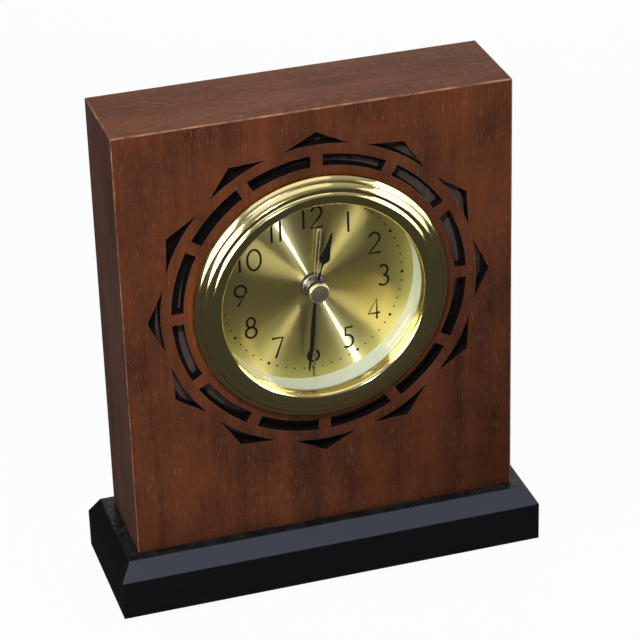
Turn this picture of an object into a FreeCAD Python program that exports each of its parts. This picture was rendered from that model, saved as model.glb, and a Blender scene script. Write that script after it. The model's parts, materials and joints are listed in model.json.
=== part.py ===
"""Mantel alarm clock: a mitred wooden case on a black plinth, with a round quartz alarm insert.

Frame: +X is the clock's right as you face the dial, the dial faces -Y, and +Z is up.
The origin is under the middle of the plinth, on the surface that the clock stands on.
A "setback" is a depth behind the case's front face, and all of the insert is placed by setbacks.
Positions across the insert are measured from its centre, where the hands turn.
"""
import FreeCAD, Part
import math
import os
import re
import Sketcher

Vector = FreeCAD.Vector

# ---------------------------------------------------------------- driving dimensions (mm, degrees)
SIZES = {
    # case
    "case_width": 130, "case_height": 148.5, "case_depth": 34, "panel_thick": 4, "insert_drop": 65,
    "backer_thick": 3, "glue_gap": 0.2, "block_side": 10, "cleat_height": 12, "cleat_width": 110,
    # plinth
    "plinth_height": 19.5, "plinth_over_x": 7.6, "plinth_over_y": 7.2, "bevel_drop": 6, "bevel_inset": 3.6,
    "felt_thick": 0.8, "felt_inset": 2.2, "wood_screw_x": 40, "wood_screw_radius": 1.9,
    "wood_screw_head": 3.9, "wood_screw_bite": 8, "counterbore": 4.4, "counterbore_depth": 6,
    "head_thick": 2.4,
    # fretwork
    "hours": 12, "slot_gap": 2.8, "slot_wide": 3.9, "bridge_width": 4,
    "arrow_gap": 3.55, "arrow_long": 4.35, "arrow_angle": 11.75, "cutter_over": 1,
    # insert shell
    "hole_radius": 39, "can_outer": 38, "can_inner": 36, "can_length": 27, "rim_depth": 1.2,
    "band_outer": 38.9, "band_near": 0.6, "band_far": 8, "shell_fit": 0.1,
    "bezel_radius": 42.5, "bezel_side": 0.8, "bead_one": 42.1, "bead_one_rise": 2.2, "groove_one": 40.8,
    "groove_one_rise": 3.05, "bead_two_side": 4.2, "bead_two": 39, "bead_two_rise": 4.65,
    "groove_two": 37.9, "groove_two_rise": 4.35, "bead_three_side": 4.9, "bead_three": 36.4,
    "bead_three_rise": 5.05, "slope_radius": 35, "slope_rise": 4.6, "lip_radius": 33.8, "lip_rise": 1.6,
    "lens_thick": 1.5, "surround_inner": 34, "surround_outer": 35.8, "dial_setback": 8.2, "dial_thick": 0.4,
    "ledge_inner": 34.2, "ledge_thick": 1.2, "washer_radius": 4.3, "washer_thick": 0.4, "dial_hole_gap": 0.24,
    # movement plates
    "front_plate_thick": 1.2, "plate_half": 23, "plate_low": 14.5, "plate_high": 25,
    "middle_plate": 15.8, "middle_thick": 0.8, "rear_plate": 22.4, "rear_thick": 1,
    "pillar_radius": 1.6, "pillar_x": 20.5, "pillar_drop": 11.5, "pillar_rise": 22,
    "small_screw_radius": 0.8, "small_head": 1.7, "small_head_thick": 0.8, "pilot_gap": 0.03,
    # arbors and pipes, radii
    "arbor": 0.5, "minute_pipe": 1.15, "hour_pipe": 1.85, "alarm_pipe": 2.6, "run_gap": 0.06,
    "shaft": 0.9, "pivot": 0.4,
    # where each wheel runs: setback of its front face
    "alarm_layer": 11, "hour_layer": 12.2, "motion_layer": 13.6, "centre_layer": 14.8,
    "third_layer": 17, "second_layer": 17.9, "step_layer": 18.8, "wheel_thick": 0.6, "magnet_near": 19.8,
    "magnet_thick": 1.8, "magnet_radius": 2, "rotor_gap": 0.3,
    # gears
    "motion_module": 0.3, "hour_module": 0.288, "fine_module": 0.15, "step_module": 0.2,
    "centre_module": 0.1588, "alarm_module": 0.3, "tooth_height": 0.8, "tooth_root": 1.1,
    "root_share": 0.56, "tooth_share": 0.4, "tip_share": 0.16,
    "cannon_teeth": 12, "motion_teeth": 36, "small_teeth": 10, "hour_teeth": 40, "alarm_pinion_teeth": 12,
    "alarm_teeth": 40, "step_teeth": 60, "second_teeth": 50, "third_teeth": 80, "centre_teeth": 75,
    "step_angle": 60, "rotor_angle": 120, "third_angle": -90,
    # hands: setback of the front face, length, and resting angle clockwise from twelve
    "hand_thick": 0.3, "second_near": 2.1, "minute_near": 3.6, "hour_near": 5.1, "alarm_near": 6.4,
    "second_length": 30, "minute_length": 29, "hour_length": 19.6, "alarm_length": 20.4,
    "second_rest": 185, "minute_rest": 187, "hour_rest": 17.5, "alarm_rest": 6,
    "stem_half": 0.4, "tip_half": 0.14, "spade_start": 9, "spade_shoulder": 9.7, "shoulder_half": 1.22,
    "spade_wide": 11, "spade_half": 1.75, "spade_waist": 12.1, "waist_half": 1.15, "spade_end": 13.6,
    "spade_end_half": 0.58, "spire_half": 0.22, "lance_wide": 8, "lance_half": 0.75, "lance_middle": 16,
    "lance_middle_half": 0.6, "needle_half": 0.3, "needle_middle": 18, "needle_middle_half": 0.24,
    "pointer_half": 0.45, "pointer_middle": 14.3, "pointer_middle_half": 0.36,
    "second_hub": 3, "minute_hub": 3, "hour_hub": 3.3, "alarm_hub": 3.5, "hub_gap": 0.1,
    "cap_radius": 3.3, "cap_near": 1, "cap_step": 0.5, "cap_rim": 2.7,
    # motor and electronics
    "stator_half": 11, "stator_low": 6.6, "stator_high": 21.5, "stator_near": 20.3, "stator_thick": 0.8,
    "window_half": 6.5, "window_low": 14, "window_high": 24, "coil_radius": 2.3, "core_half": 0.8,
    "coil_length": 12, "flange_thick": 0.7, "flange_extra": 0.4, "coil_height": 18.2,
    "board_half": 16, "board_low": 9, "board_high": 19.5, "board_thick": 0.8, "crystal_radius": 1,
    "crystal_length": 6, "crystal_x": 4, "crystal_z": 16.5, "chip_half": 2.6, "chip_x": -6,
    "chip_z": 14, "chip_thick": 1, "buzzer_radius": 7, "buzzer_thick": 0.6, "buzzer_x": 10,
    "buzzer_z": 15.5, "grille_hole": 0.7, "grille_circle": 3.4, "grille_count": 6,
    # battery
    "battery_radius": 5.25, "battery_length": 44.5, "battery_drop": 20.5, "nipple_radius": 1.9,
    "nipple_length": 0.8, "tray_wall": 0.6, "tray_end": 0.8, "contact_thick": 0.4, "battery_near": 13,
    "battery_gap": 0.05, "spring_radius": 2.5, "spring_rise": 0.15, "contact_half": 4, "drum_radius": 1.2,
    # rear cover, knobs, door and switch
    "cover_setback": 25.5, "boss_radius": 2.4, "boss_circle": 34, "boss_near": 19, "pilot_start": 20,
    "screw_start": 21, "boss_right": 20, "boss_left": 160, "boss_foot": 270, "door_long": 48,
    "door_tall": 13.5, "door_thick": 1.2, "door_gap": 0.1, "door_opening": 45, "rail_long": 32,
    "rail_wall": 1.2, "rail_lip": 1, "grip_ribs": 5, "rib_pitch": 1.6, "rib_thick": 0.6,
    "knob_radius": 5.5, "knob_near": 28, "knob_far": 33, "flute_count": 20, "flute_radius": 0.45,
    "collar_radius": 1.8, "shaft_gap": 0.08,
    "switch_x": -12, "switch_z": 15.5, "switch_travel": 4, "switch_neck": 1.5, "switch_half_high": 1,
    "switch_cap": 2.6, "switch_cap_high": 1.8, "switch_cap_thick": 2.2, "switch_foot_thick": 0.7,
    "switch_gap": 0.1, "leaf_thick": 0.25, "leaf_long": 11, "leaf_high": 1.6,
}

# Lengths that follow from the sizes above, written as formulas in the same words.
DERIVED = {
    "slot_inner": "bezel_radius + slot_gap",
    "slot_outer": "slot_inner + slot_wide",
    "arrow_base": "slot_outer + arrow_gap",
    "arrow_apex": "arrow_base + arrow_long",
    "minute_boss_far": "hour_near - hub_gap",
    "hour_boss_far": "alarm_near - hub_gap",
    "alarm_boss_far": "dial_setback - washer_thick - hub_gap",
    "dial_hole": "alarm_pipe + dial_hole_gap",
    "wood_screw_end": "case_low + panel_thick + wood_screw_bite",
    "case_low": "felt_thick + plinth_height",
    "case_top": "case_low + case_height",
    "insert_z": "case_top - insert_drop",
    "front_y": "-case_depth / 2",
    "inner_half": "case_width / 2 - panel_thick",
    "back_inner": "case_depth - panel_thick",
    "backer_far": "panel_thick + backer_thick",
    "plate_near": "dial_setback + dial_thick",
    "plate_far": "plate_near + front_plate_thick",
    "middle_far": "middle_plate + middle_thick",
    "rear_far": "rear_plate + rear_thick",
    "motion_reach": "motion_module * (cannon_teeth + motion_teeth) / 2",
    "alarm_reach": "-alarm_module * (alarm_pinion_teeth + alarm_teeth) / 2",
    "step_reach": "step_module * (small_teeth + second_teeth) / 2",
    "rotor_reach": "fine_module * (small_teeth + step_teeth) / 2",
    "third_reach": "fine_module * (small_teeth + third_teeth) / 2",
    "step_x": "step_reach * cos(step_angle)",
    "step_z": "step_reach * sin(step_angle)",
    "rotor_x": "step_x + rotor_reach * cos(rotor_angle)",
    "rotor_z": "step_z + rotor_reach * sin(rotor_angle)",
    "third_x": "third_reach * cos(third_angle)",
    "third_z": "third_reach * sin(third_angle)",
    "battery_axis": "battery_near + battery_radius",
    "tray_half": "battery_length / 2 + battery_gap * 2 + contact_thick + tray_end",
    "tray_high": "battery_radius + battery_gap + tray_wall",
    "switch_far": "cover_setback - switch_gap",
    "door_near": "can_length + door_gap / 2",
    "door_far": "door_near + door_thick",
}

doc = FreeCAD.newDocument("mantel_alarm_clock")
sheet = doc.addObject("Spreadsheet::Sheet", "size")
for row, (word, number) in enumerate(SIZES.items(), start=1):
    sheet.set(f"A{row}", word)
    sheet.set(f"B{row}", str(number))
    sheet.setAlias(f"B{row}", word)
doc.recompute()

NODES = {}
WORD = re.compile(r"[A-Za-z_]\w*")


def formula(text):
    """Turn a formula in plain words into one that reads the sheet's cells."""
    def swap(match):
        name = match.group()
        if name in DERIVED:
            return f"({formula(DERIVED[name])})"
        return f"size.{name}" if name in SIZES else name
    return WORD.sub(swap, str(text))


def worth(text):
    """The number that a formula gives now."""
    return float(sheet.evalExpression(formula(text)))


def bind(thing, **properties):
    for name, text in properties.items():
        thing.setExpression(name.replace("__", "."), formula(text))
    return thing


def make(kind, name, **properties):
    return bind(doc.addObject(kind, name), **properties)


def place(thing, x="0", setback="0", z="0", turn="0"):
    """Stand a shape's own +Z towards the viewer, with its base at a setback behind the case front."""
    spot = f"vector({x}; front_y + ({setback}); insert_z + ({z}))"
    spin = f"rotation(vector(1; 0; 0); 90) * rotation(vector(0; 0; 1); -({turn}))"
    return bind(thing, Placement=f"placement({spot}; {spin})")


def disc(name, radius, near, far, x="0", z="0"):
    """A round solid along the clock's depth, from one setback to a deeper one."""
    rod = make("Part::Cylinder", name, Radius=radius, Height=f"({far}) - ({near})")
    return place(rod, x, far, z)


def block(name, left, right, near, far, low, high):
    """A rectangular solid, placed from the insert's centre and by setbacks."""
    width, depth, height = f"({right}) - ({left})", f"({far}) - ({near})", f"({high}) - ({low})"
    solid = make("Part::Box", name, Length=width, Width=depth, Height=height)
    return bind(solid, Placement__Base__x=left, Placement__Base__y=f"front_y + ({near})",
                Placement__Base__z=f"insert_z + ({low})")


def lying(name, radius, left, right, setback, z):
    """A round solid along X."""
    rod = make("Part::Cylinder", name, Radius=radius, Height=f"({right}) - ({left})")
    spot = f"vector({left}; front_y + ({setback}); insert_z + ({z}))"
    return bind(rod, Placement=f"placement({spot}; rotation(vector(0; 1; 0); 90))")


def cut(name, base, *tools):
    tool = tools[0] if len(tools) == 1 else fuse(f"{name}_tools", *tools)
    result = doc.addObject("Part::Cut", name)
    result.Base, result.Tool = base, tool
    return result


def fuse(name, *shapes):
    result = doc.addObject("Part::MultiFuse", name)
    result.Shapes = list(shapes)
    return result


def group(name, *shapes):
    """Separate solids kept as one node."""
    result = doc.addObject("Part::Compound", name)
    result.Links = list(shapes)
    return result


def ring(name, outer, inner, near, far, x="0", z="0"):
    solid = disc(f"{name}_outer", outer, near, far, x, z)
    return cut(name, solid, disc(f"{name}_inner", inner, f"({near}) - 1", f"({far}) + 1", x, z))


def node(label, thing):
    """Name a finished piece: the label is its file's name."""
    thing.Label = label
    NODES[label] = thing
    return thing


def around(count, radius, start=0):
    """Formulas for the x and z of points spread evenly on a circle."""
    for index in range(count):
        angle = start + 360 * index / count
        yield index, f"{radius} * cos({angle})", f"{radius} * sin({angle})"


# ---------------------------------------------------------------- sketches
def origin_plane(body, role):
    return next(plane for plane in body.Origin.OriginFeatures if plane.Role == role)


def outline(body, name, corners, role="XY_Plane"):
    """A closed outline through corners given as pairs of formulas, each tied to the sheet."""
    sketch = body.newObject("Sketcher::SketchObject", name)
    sketch.AttachmentSupport = [(origin_plane(body, role), "")]
    sketch.MapMode = "FlatFace"
    points = [Vector(worth(x), worth(y), 0) for x, y in corners]
    count = len(points)
    for index in range(count):
        sketch.addGeometry(Part.LineSegment(points[index], points[(index + 1) % count]), False)
    for index, (x, y) in enumerate(corners):
        before = (index - 1) % count
        sketch.addConstraint(Sketcher.Constraint("Coincident", before, 2, index, 1))
        for kind, text, spot in (("DistanceX", x, points[index].x), ("DistanceY", y, points[index].y)):
            held = sketch.addConstraint(Sketcher.Constraint(kind, -1, 1, index, 1, spot))
            sketch.setExpression(f"Constraints[{held}]", formula(text))
    return sketch


def padded(name, corners, thick):
    """A flat piece cut from sheet, modelled in its own XY plane."""
    body = doc.addObject("PartDesign::Body", name)
    sketch = outline(body, f"{name}_outline", corners)
    pad = body.newObject("PartDesign::Pad", f"{name}_pad")
    pad.Profile = sketch
    bind(pad, Length=thick)
    return body


def turned(name, corners, setback="0"):
    """A piece turned on a lathe: corners are (radius, rise towards the viewer)."""
    body = doc.addObject("PartDesign::Body", name)
    sketch = outline(body, f"{name}_profile", corners, "XZ_Plane")
    lathe = body.newObject("PartDesign::Revolution", f"{name}_turn")
    lathe.Profile = sketch
    lathe.ReferenceAxis = (sketch, ["V_Axis"])
    lathe.Angle = 360
    return place(body, setback=setback)


# ---------------------------------------------------------------- gears
def gear_face(teeth, module):
    """The outline of a small moulded gear, centred on a tooth at angle zero, with easy running play."""
    pitch = teeth * module / 2
    pitch_angle = 2 * math.pi / teeth
    tip = pitch + module * worth("tooth_height")
    root = pitch - module * worth("tooth_root")
    shares = [(radius, worth(share) / 2) for radius, share in
              ((root, "root_share"), (pitch, "tooth_share"), (tip, "tip_share"))]
    points = []
    for index in range(teeth):
        middle = index * pitch_angle
        sides = [(radius, middle - share * pitch_angle) for radius, share in shares]
        sides += [(radius, middle + share * pitch_angle) for radius, share in reversed(shares)]
        points += [Vector(radius * math.cos(turn), radius * math.sin(turn), 0) for radius, turn in sides]
    return Part.Face(Part.makePolygon(points + points[:1]))


def gear(name, teeth, module, near, far, bore=None, x="0", z="0", phase=0.0):
    """A toothed wheel between two setbacks, with its first tooth at the phase angle from +X."""
    thick = worth(f"({far}) - ({near})")
    shape = gear_face(round(worth(teeth)), worth(module)).extrude(Vector(0, 0, thick))
    if bore:
        shape = shape.cut(Part.makeCylinder(worth(bore), thick))
    wheel = doc.addObject("Part::Feature", name)
    wheel.Shape = shape
    return place(wheel, x, far, z, turn=-phase)


def meshed(angle, teeth, phase, mate_teeth):
    """The phase of a mate that stands in the direction angle, so that its gap takes this gear's tooth."""
    pitch, mate_pitch = 360 / worth(teeth), 360 / worth(mate_teeth)
    share = ((angle - phase) / pitch) % 1
    return angle + 180 + (share + 0.5) * mate_pitch


# ---------------------------------------------------------------- wooden case
def mitred_panel(name, width, height, spot, spin):
    """A veneered board with 45 degree mitres all round: its outer face is its own XZ plane."""
    board = make("Part::Wedge", name, Xmin=f"-{width} / 2", Xmax=f"{width} / 2", Ymin="0", Ymax="panel_thick",
                 Zmin=f"-{height} / 2", Zmax=f"{height} / 2", X2min=f"panel_thick - {width} / 2",
                 X2max=f"{width} / 2 - panel_thick", Z2min=f"panel_thick - {height} / 2",
                 Z2max=f"{height} / 2 - panel_thick")
    axis, angle = spin
    x, y, z = spot
    return bind(board, Placement=f"placement(vector({x}; {y}; {z}); rotation(vector({axis}); {angle}))")


def fret_tools():
    """What the fretwork cuts away: twelve arched slots, and twelve arrowheads on the hours."""
    slots = ring("slot_ring", "slot_outer", "slot_inner", "-cutter_over", "panel_thick + cutter_over")
    bridges = []
    for index in range(round(worth("hours") / 2)):
        bar = make("Part::Box", f"bridge_{index}", Length="(slot_outer + cutter_over) * 2",
                   Width="bridge_width", Height="panel_thick + cutter_over * 4")
        corner = "vector(-slot_outer - cutter_over; -bridge_width / 2; 0)"
        local = f"placement({corner}; rotation(vector(0; 0; 1); 0))"
        spot = "vector(0; front_y + panel_thick + cutter_over * 2; insert_z)"
        spin = f"rotation(vector(1; 0; 0); 90) * rotation(vector(0; 0; 1); {index} * 360 / hours)"
        bridges.append(bind(bar, Placement=f"placement({spot}; {spin}) * {local}"))
    arches = cut("slots", slots, *bridges)
    arrow = doc.addObject("PartDesign::Body", "arrowheads")
    sketch = arrow.newObject("Sketcher::SketchObject", "arrow_outline")
    sketch.AttachmentSupport = [(origin_plane(arrow, "XY_Plane"), "")]
    sketch.MapMode = "FlatFace"
    half, base = math.radians(worth("arrow_angle")), worth("arrow_base")
    apex = Vector(0, worth("arrow_apex"), 0)
    right, left = (Vector(side * base * math.sin(half), base * math.cos(half), 0) for side in (1, -1))
    circle = Part.Circle(Vector(), Vector(0, 0, 1), base)
    arc = Part.ArcOfCircle(circle, math.pi / 2 - half, math.pi / 2 + half)
    for line in (Part.LineSegment(apex, right), arc, Part.LineSegment(left, apex)):
        sketch.addGeometry(line, False)
    for ends in ((0, 2, 1, 1), (1, 2, 2, 1), (2, 2, 0, 1), (1, 3, -1, 1)):
        sketch.addConstraint(Sketcher.Constraint("Coincident", *ends))
    sketch.addConstraint(Sketcher.Constraint("PointOnObject", 0, 1, -2))
    ties = (("DistanceY", (-1, 1, 0, 1), apex.y, "arrow_apex"), ("Radius", (1,), base, "arrow_base"),
            ("DistanceX", (-1, 1, 0, 2), right.x, "arrow_base * sin(arrow_angle)"),
            ("DistanceX", (2, 1, -1, 1), right.x, "arrow_base * sin(arrow_angle)"))
    for kind, ends, number, text in ties:
        held = sketch.addConstraint(Sketcher.Constraint(kind, *ends, number))
        sketch.setExpression(f"Constraints[{held}]", formula(text))
    pad = arrow.newObject("PartDesign::Pad", "arrow_pad")
    pad.Profile = sketch
    bind(pad, Length="panel_thick + cutter_over * 2")
    doc.recompute()
    wheel = arrow.newObject("PartDesign::PolarPattern", "arrow_pattern")
    wheel.Originals = [pad]
    wheel.Axis = (sketch, ["N_Axis"])
    wheel.Angle = 360
    bind(wheel, Occurrences="hours")
    arrow.Tip = wheel
    return arches, place(arrow, setback="panel_thick + cutter_over")


def build_case():
    middle = "case_low + case_height / 2"
    front = mitred_panel("front_board", "case_width", "case_height", ("0", "front_y", middle), ("0; 0; 1", 0))
    through = disc("front_hole", "hole_radius", "-1", "panel_thick + 1")
    node("front_panel", cut("front_cut", front, through, *fret_tools()))
    back = mitred_panel("back_board", "case_width", "case_height", ("0", "-front_y", middle),
                        ("0; 0; 1", 180))
    rear_hole = disc("rear_hole", "hole_radius", "back_inner - 1", "case_depth + 1")
    node("back_panel", cut("back_cut", back, rear_hole))
    half = "case_width / 2"
    sides = (("left_panel", "case_depth", "case_height", (f"-{half}", "0", middle), ("0; 0; 1", -90)),
             ("right_panel", "case_depth", "case_height", (half, "0", middle), ("0; 0; 1", 90)),
             ("top_panel", "case_width", "case_depth", ("0", "0", "case_top"), ("1; 0; 0", -90)))
    for label, width, height, spot, spin in sides:
        node(label, mitred_panel(f"{label}_board", width, height, spot, spin))
    floor = mitred_panel("floor_board", "case_width", "case_depth", ("0", "0", "case_low"), ("1; 0; 0", 90))
    node("bottom_panel", cut("bottom_cut", floor, *screw_holes("bottom", "wood_screw_radius + pilot_gap")))

    side = "inner_half - glue_gap"
    low = "panel_thick + glue_gap - case_height + insert_drop"
    high = "insert_drop - panel_thick - glue_gap"
    sheet_board = block("backer_sheet", f"-({side})", side, "panel_thick", "backer_far", low, high)
    backer_hole = disc("backer_hole", "hole_radius", "0", "backer_far + 1")
    node("fret_backer", cut("backer_cut", sheet_board, backer_hole))
    top = "insert_drop - panel_thick"
    blocks = [block("block_left", "-inner_half", "block_side - inner_half", "backer_far", "back_inner",
                    f"{top} - block_side", top),
              block("block_right", "inner_half - block_side", "inner_half", "backer_far", "back_inner",
                    f"{top} - block_side", top)]
    node("corner_blocks", group("blocks", *blocks))
    bottom = "insert_drop - case_height + panel_thick"
    strip = block("cleat_strip", "-cleat_width / 2", "cleat_width / 2", "backer_far", "back_inner",
                  bottom, f"{bottom} + cleat_height")
    node("base_cleat", cut("cleat_cut", strip, *screw_holes("cleat", "wood_screw_radius + pilot_gap")))


def upright(name, radius, x, low, high):
    rod = make("Part::Cylinder", name, Radius=radius, Height=f"({high}) - ({low})")
    return bind(rod, Placement__Base__x=x, Placement__Base__z=low)


def screw_holes(name, radius, low="0", high="wood_screw_end"):
    return [upright(f"{name}_bore_{side}", radius, f"{sign}wood_screw_x", low, high)
            for side, sign in (("left", "-"), ("right", ""))]


def build_plinth():
    body = doc.addObject("PartDesign::Body", "plinth_body")
    wide, deep = "case_width / 2 + plinth_over_x", "case_depth / 2 + plinth_over_y"
    corners = [(f"-({wide})", f"-({deep})"), (wide, f"-({deep})"), (wide, deep), (f"-({wide})", deep)]
    sketch = outline(body, "plinth_outline", corners)
    pad = body.newObject("PartDesign::Pad", "plinth_pad")
    pad.Profile = sketch
    bind(pad, Length="plinth_height")
    doc.recompute()
    top = max(range(len(pad.Shape.Faces)), key=lambda index: pad.Shape.Faces[index].CenterOfMass.z)
    bevel = body.newObject("PartDesign::Chamfer", "plinth_bevel")
    bevel.Base = (pad, [f"Face{top + 1}"])
    bevel.ChamferType = "Two distances"
    bind(bevel, Size="bevel_drop", Size2="bevel_inset")
    bind(body, Placement__Base__z="felt_thick")
    holes = screw_holes("plinth", "wood_screw_radius + pilot_gap", "0", "case_low + 1")
    wells = screw_holes("well", "counterbore", "0", "felt_thick + counterbore_depth")
    node("base_plinth", cut("plinth_cut", body, *holes, *wells))
    inset_x, inset_y = f"{wide} - felt_inset", f"{deep} - felt_inset"
    felt = make("Part::Box", "felt", Length=f"2 * ({inset_x})", Width=f"2 * ({inset_y})", Height="felt_thick")
    node("base_felt", bind(felt, Placement__Base__x=f"-({inset_x})", Placement__Base__y=f"-({inset_y})"))
    seat = "felt_thick + counterbore_depth"
    screws = []
    for side, sign in (("left", "-"), ("right", "")):
        x = f"{sign}wood_screw_x"
        head = upright(f"wood_head_{side}", "wood_screw_head", x, f"{seat} - head_thick", seat)
        shank = upright(f"wood_shank_{side}", "wood_screw_radius", x, seat, "wood_screw_end")
        screws.append(fuse(f"wood_screw_{side}", head, shank))
    node("base_screws", group("wood_screws", *screws))


# ---------------------------------------------------------------- insert shell
def build_shell():
    recess = "can_outer + shell_fit / 2"
    profile = [("lip_radius", "rim_depth"), (recess, "rim_depth"), (recess, "0"), ("bezel_radius", "0"),
               ("bezel_radius", "bezel_side"), ("bead_one", "bead_one_rise"),
               ("groove_one", "groove_one_rise"),
               ("(groove_one + bead_two) / 2", "bead_two_side"), ("bead_two", "bead_two_rise"),
               ("groove_two", "groove_two_rise"), ("(groove_two + bead_three) / 2", "bead_three_side"),
               ("bead_three", "bead_three_rise"), ("slope_radius", "slope_rise"), ("lip_radius", "lip_rise")]
    node("bezel", turned("bezel_turned", profile))
    lens_far = "lens_thick - rim_depth"
    node("lens", disc("lens_disc", "surround_outer", "-rim_depth", lens_far))
    node("dial_surround", ring("surround_ring", "surround_outer", "surround_inner", lens_far, "dial_setback"))
    dial = disc("dial_sheet", "surround_outer", "dial_setback", "plate_near")
    node("dial", cut("dial_cut", dial, disc("dial_eye", "dial_hole", "0", "plate_near + 1")))
    node("dial_washer", ring("washer_ring", "washer_radius", "dial_hole", "dial_setback - washer_thick",
                             "dial_setback"))
    can = ring("can_tube", "can_outer", "can_inner", "-rim_depth", "can_length")
    ledge = ring("can_ledge", "can_inner + shell_fit", "ledge_inner", "plate_far", "plate_far + ledge_thick")
    bosses, pilots = [], []
    for index, x, z in boss_spots():
        bosses.append(disc(f"boss_{index}", "boss_radius", "boss_near", "cover_setback", x, z))
        pilots.append(disc(f"pilot_{index}", "small_screw_radius + pilot_gap", "pilot_start",
                           "cover_setback + 1", x, z))
    node("insert_can", cut("can_cut", fuse("can_whole", can, ledge, *bosses), *pilots))
    node("grip_band", ring("band_ring", "band_outer", "can_outer", "band_near", "band_far"))


def boss_spots():
    """Where the three cover screws go: two at the sides and one at the foot."""
    for index, angle in enumerate(("boss_right", "boss_left", "boss_foot")):
        yield index, f"boss_circle * cos({angle})", f"boss_circle * sin({angle})"


def pillar_spots():
    corners = (("-", "-pillar_drop"), ("", "-pillar_drop"), ("-", "pillar_rise"), ("", "pillar_rise"))
    for index, (side, height) in enumerate(corners):
        yield index, f"{side}pillar_x", height


# ---------------------------------------------------------------- movement frame
def build_plates():
    pillars = [disc(f"front_pillar_{index}", "pillar_radius", "plate_near", "middle_plate", x, z)
               for index, x, z in pillar_spots()]
    front = disc("front_disc", "can_inner - shell_fit", "plate_near", "plate_far")
    bores = [disc("alarm_bush", "alarm_pipe + run_gap", "0", "plate_far + 1")]
    bores += [disc(f"front_pilot_{index}", "small_screw_radius + pilot_gap", "plate_far", "rear_plate", x, z)
              for index, x, z in pillar_spots()]
    node("front_plate", cut("front_plate_cut", fuse("front_plate_whole", front, *pillars), *bores))

    sheet_edges = ("-plate_half", "plate_half")
    heights = ("-plate_low", "plate_high")
    middle = block("middle_sheet", *sheet_edges, "middle_plate", "middle_far", *heights)
    posts = [disc(f"rear_pillar_{index}", "pillar_radius", "middle_plate", "rear_plate", x, z)
             for index, x, z in pillar_spots()]
    bores = [disc("centre_bush", "minute_pipe + run_gap", "0", "rear_plate"),
             disc("time_pass", "shaft + shaft_gap", "0", "rear_plate", "motion_reach"),
             disc("alarm_pass", "shaft + shaft_gap", "0", "rear_plate", "alarm_reach"),
             disc("third_pass", "centre_module * (small_teeth / 2 + 1) + run_gap", "0", "rear_plate",
                  "third_x", "third_z"),
             disc("step_pass", "pivot + run_gap", "0", "rear_plate", "step_x", "step_z"),
             disc("rotor_pass", "pivot + run_gap", "0", "rear_plate", "rotor_x", "rotor_z")]
    bores += [disc(f"middle_pilot_{index}", "small_screw_radius + pilot_gap", "plate_far", "rear_far", x, z)
              for index, x, z in pillar_spots()]
    node("middle_plate_frame", cut("middle_cut", fuse("middle_whole", middle, *posts), *bores))

    rear = block("rear_sheet", *sheet_edges, "rear_plate", "rear_far", *heights)
    bores = [disc("rear_bush", "arbor + run_gap", "0", "rear_far + 1"),
             disc("time_bush", "shaft + shaft_gap", "0", "rear_far + 1", "motion_reach"),
             disc("alarm_rear_bush", "shaft + shaft_gap", "0", "rear_far + 1", "alarm_reach")]
    for name in ("third", "step", "rotor"):
        bores.append(disc(f"{name}_bush", "pivot + run_gap", "0", "rear_far + 1", f"{name}_x", f"{name}_z"))
    bores += [disc(f"rear_screw_bore_{index}", "small_screw_radius + pilot_gap", "0", "rear_far + 1", x, z)
              for index, x, z in pillar_spots()]
    node("rear_plate_frame", cut("rear_cut", rear, *bores))

    screws = []
    for index, x, z in pillar_spots():
        head = disc(f"plate_head_{index}", "small_head", "rear_far", "rear_far + small_head_thick", x, z)
        shank = disc(f"plate_shank_{index}", "small_screw_radius", "plate_far + 1", "rear_far", x, z)
        screws.append(fuse(f"plate_screw_{index}", head, shank))
    node("plate_screws", group("plate_screw_set", *screws))


# ---------------------------------------------------------------- wheels and hands
def wheel_pipe(name, outer, inner, near, far, gears):
    """A pipe or arbor that carries its gears in one moulding."""
    pipe = ring(f"{name}_pipe", outer, inner, near, far) if inner else disc(f"{name}_pipe", outer, near, far)
    return node(name, fuse(f"{name}_whole", pipe, *gears))


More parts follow.
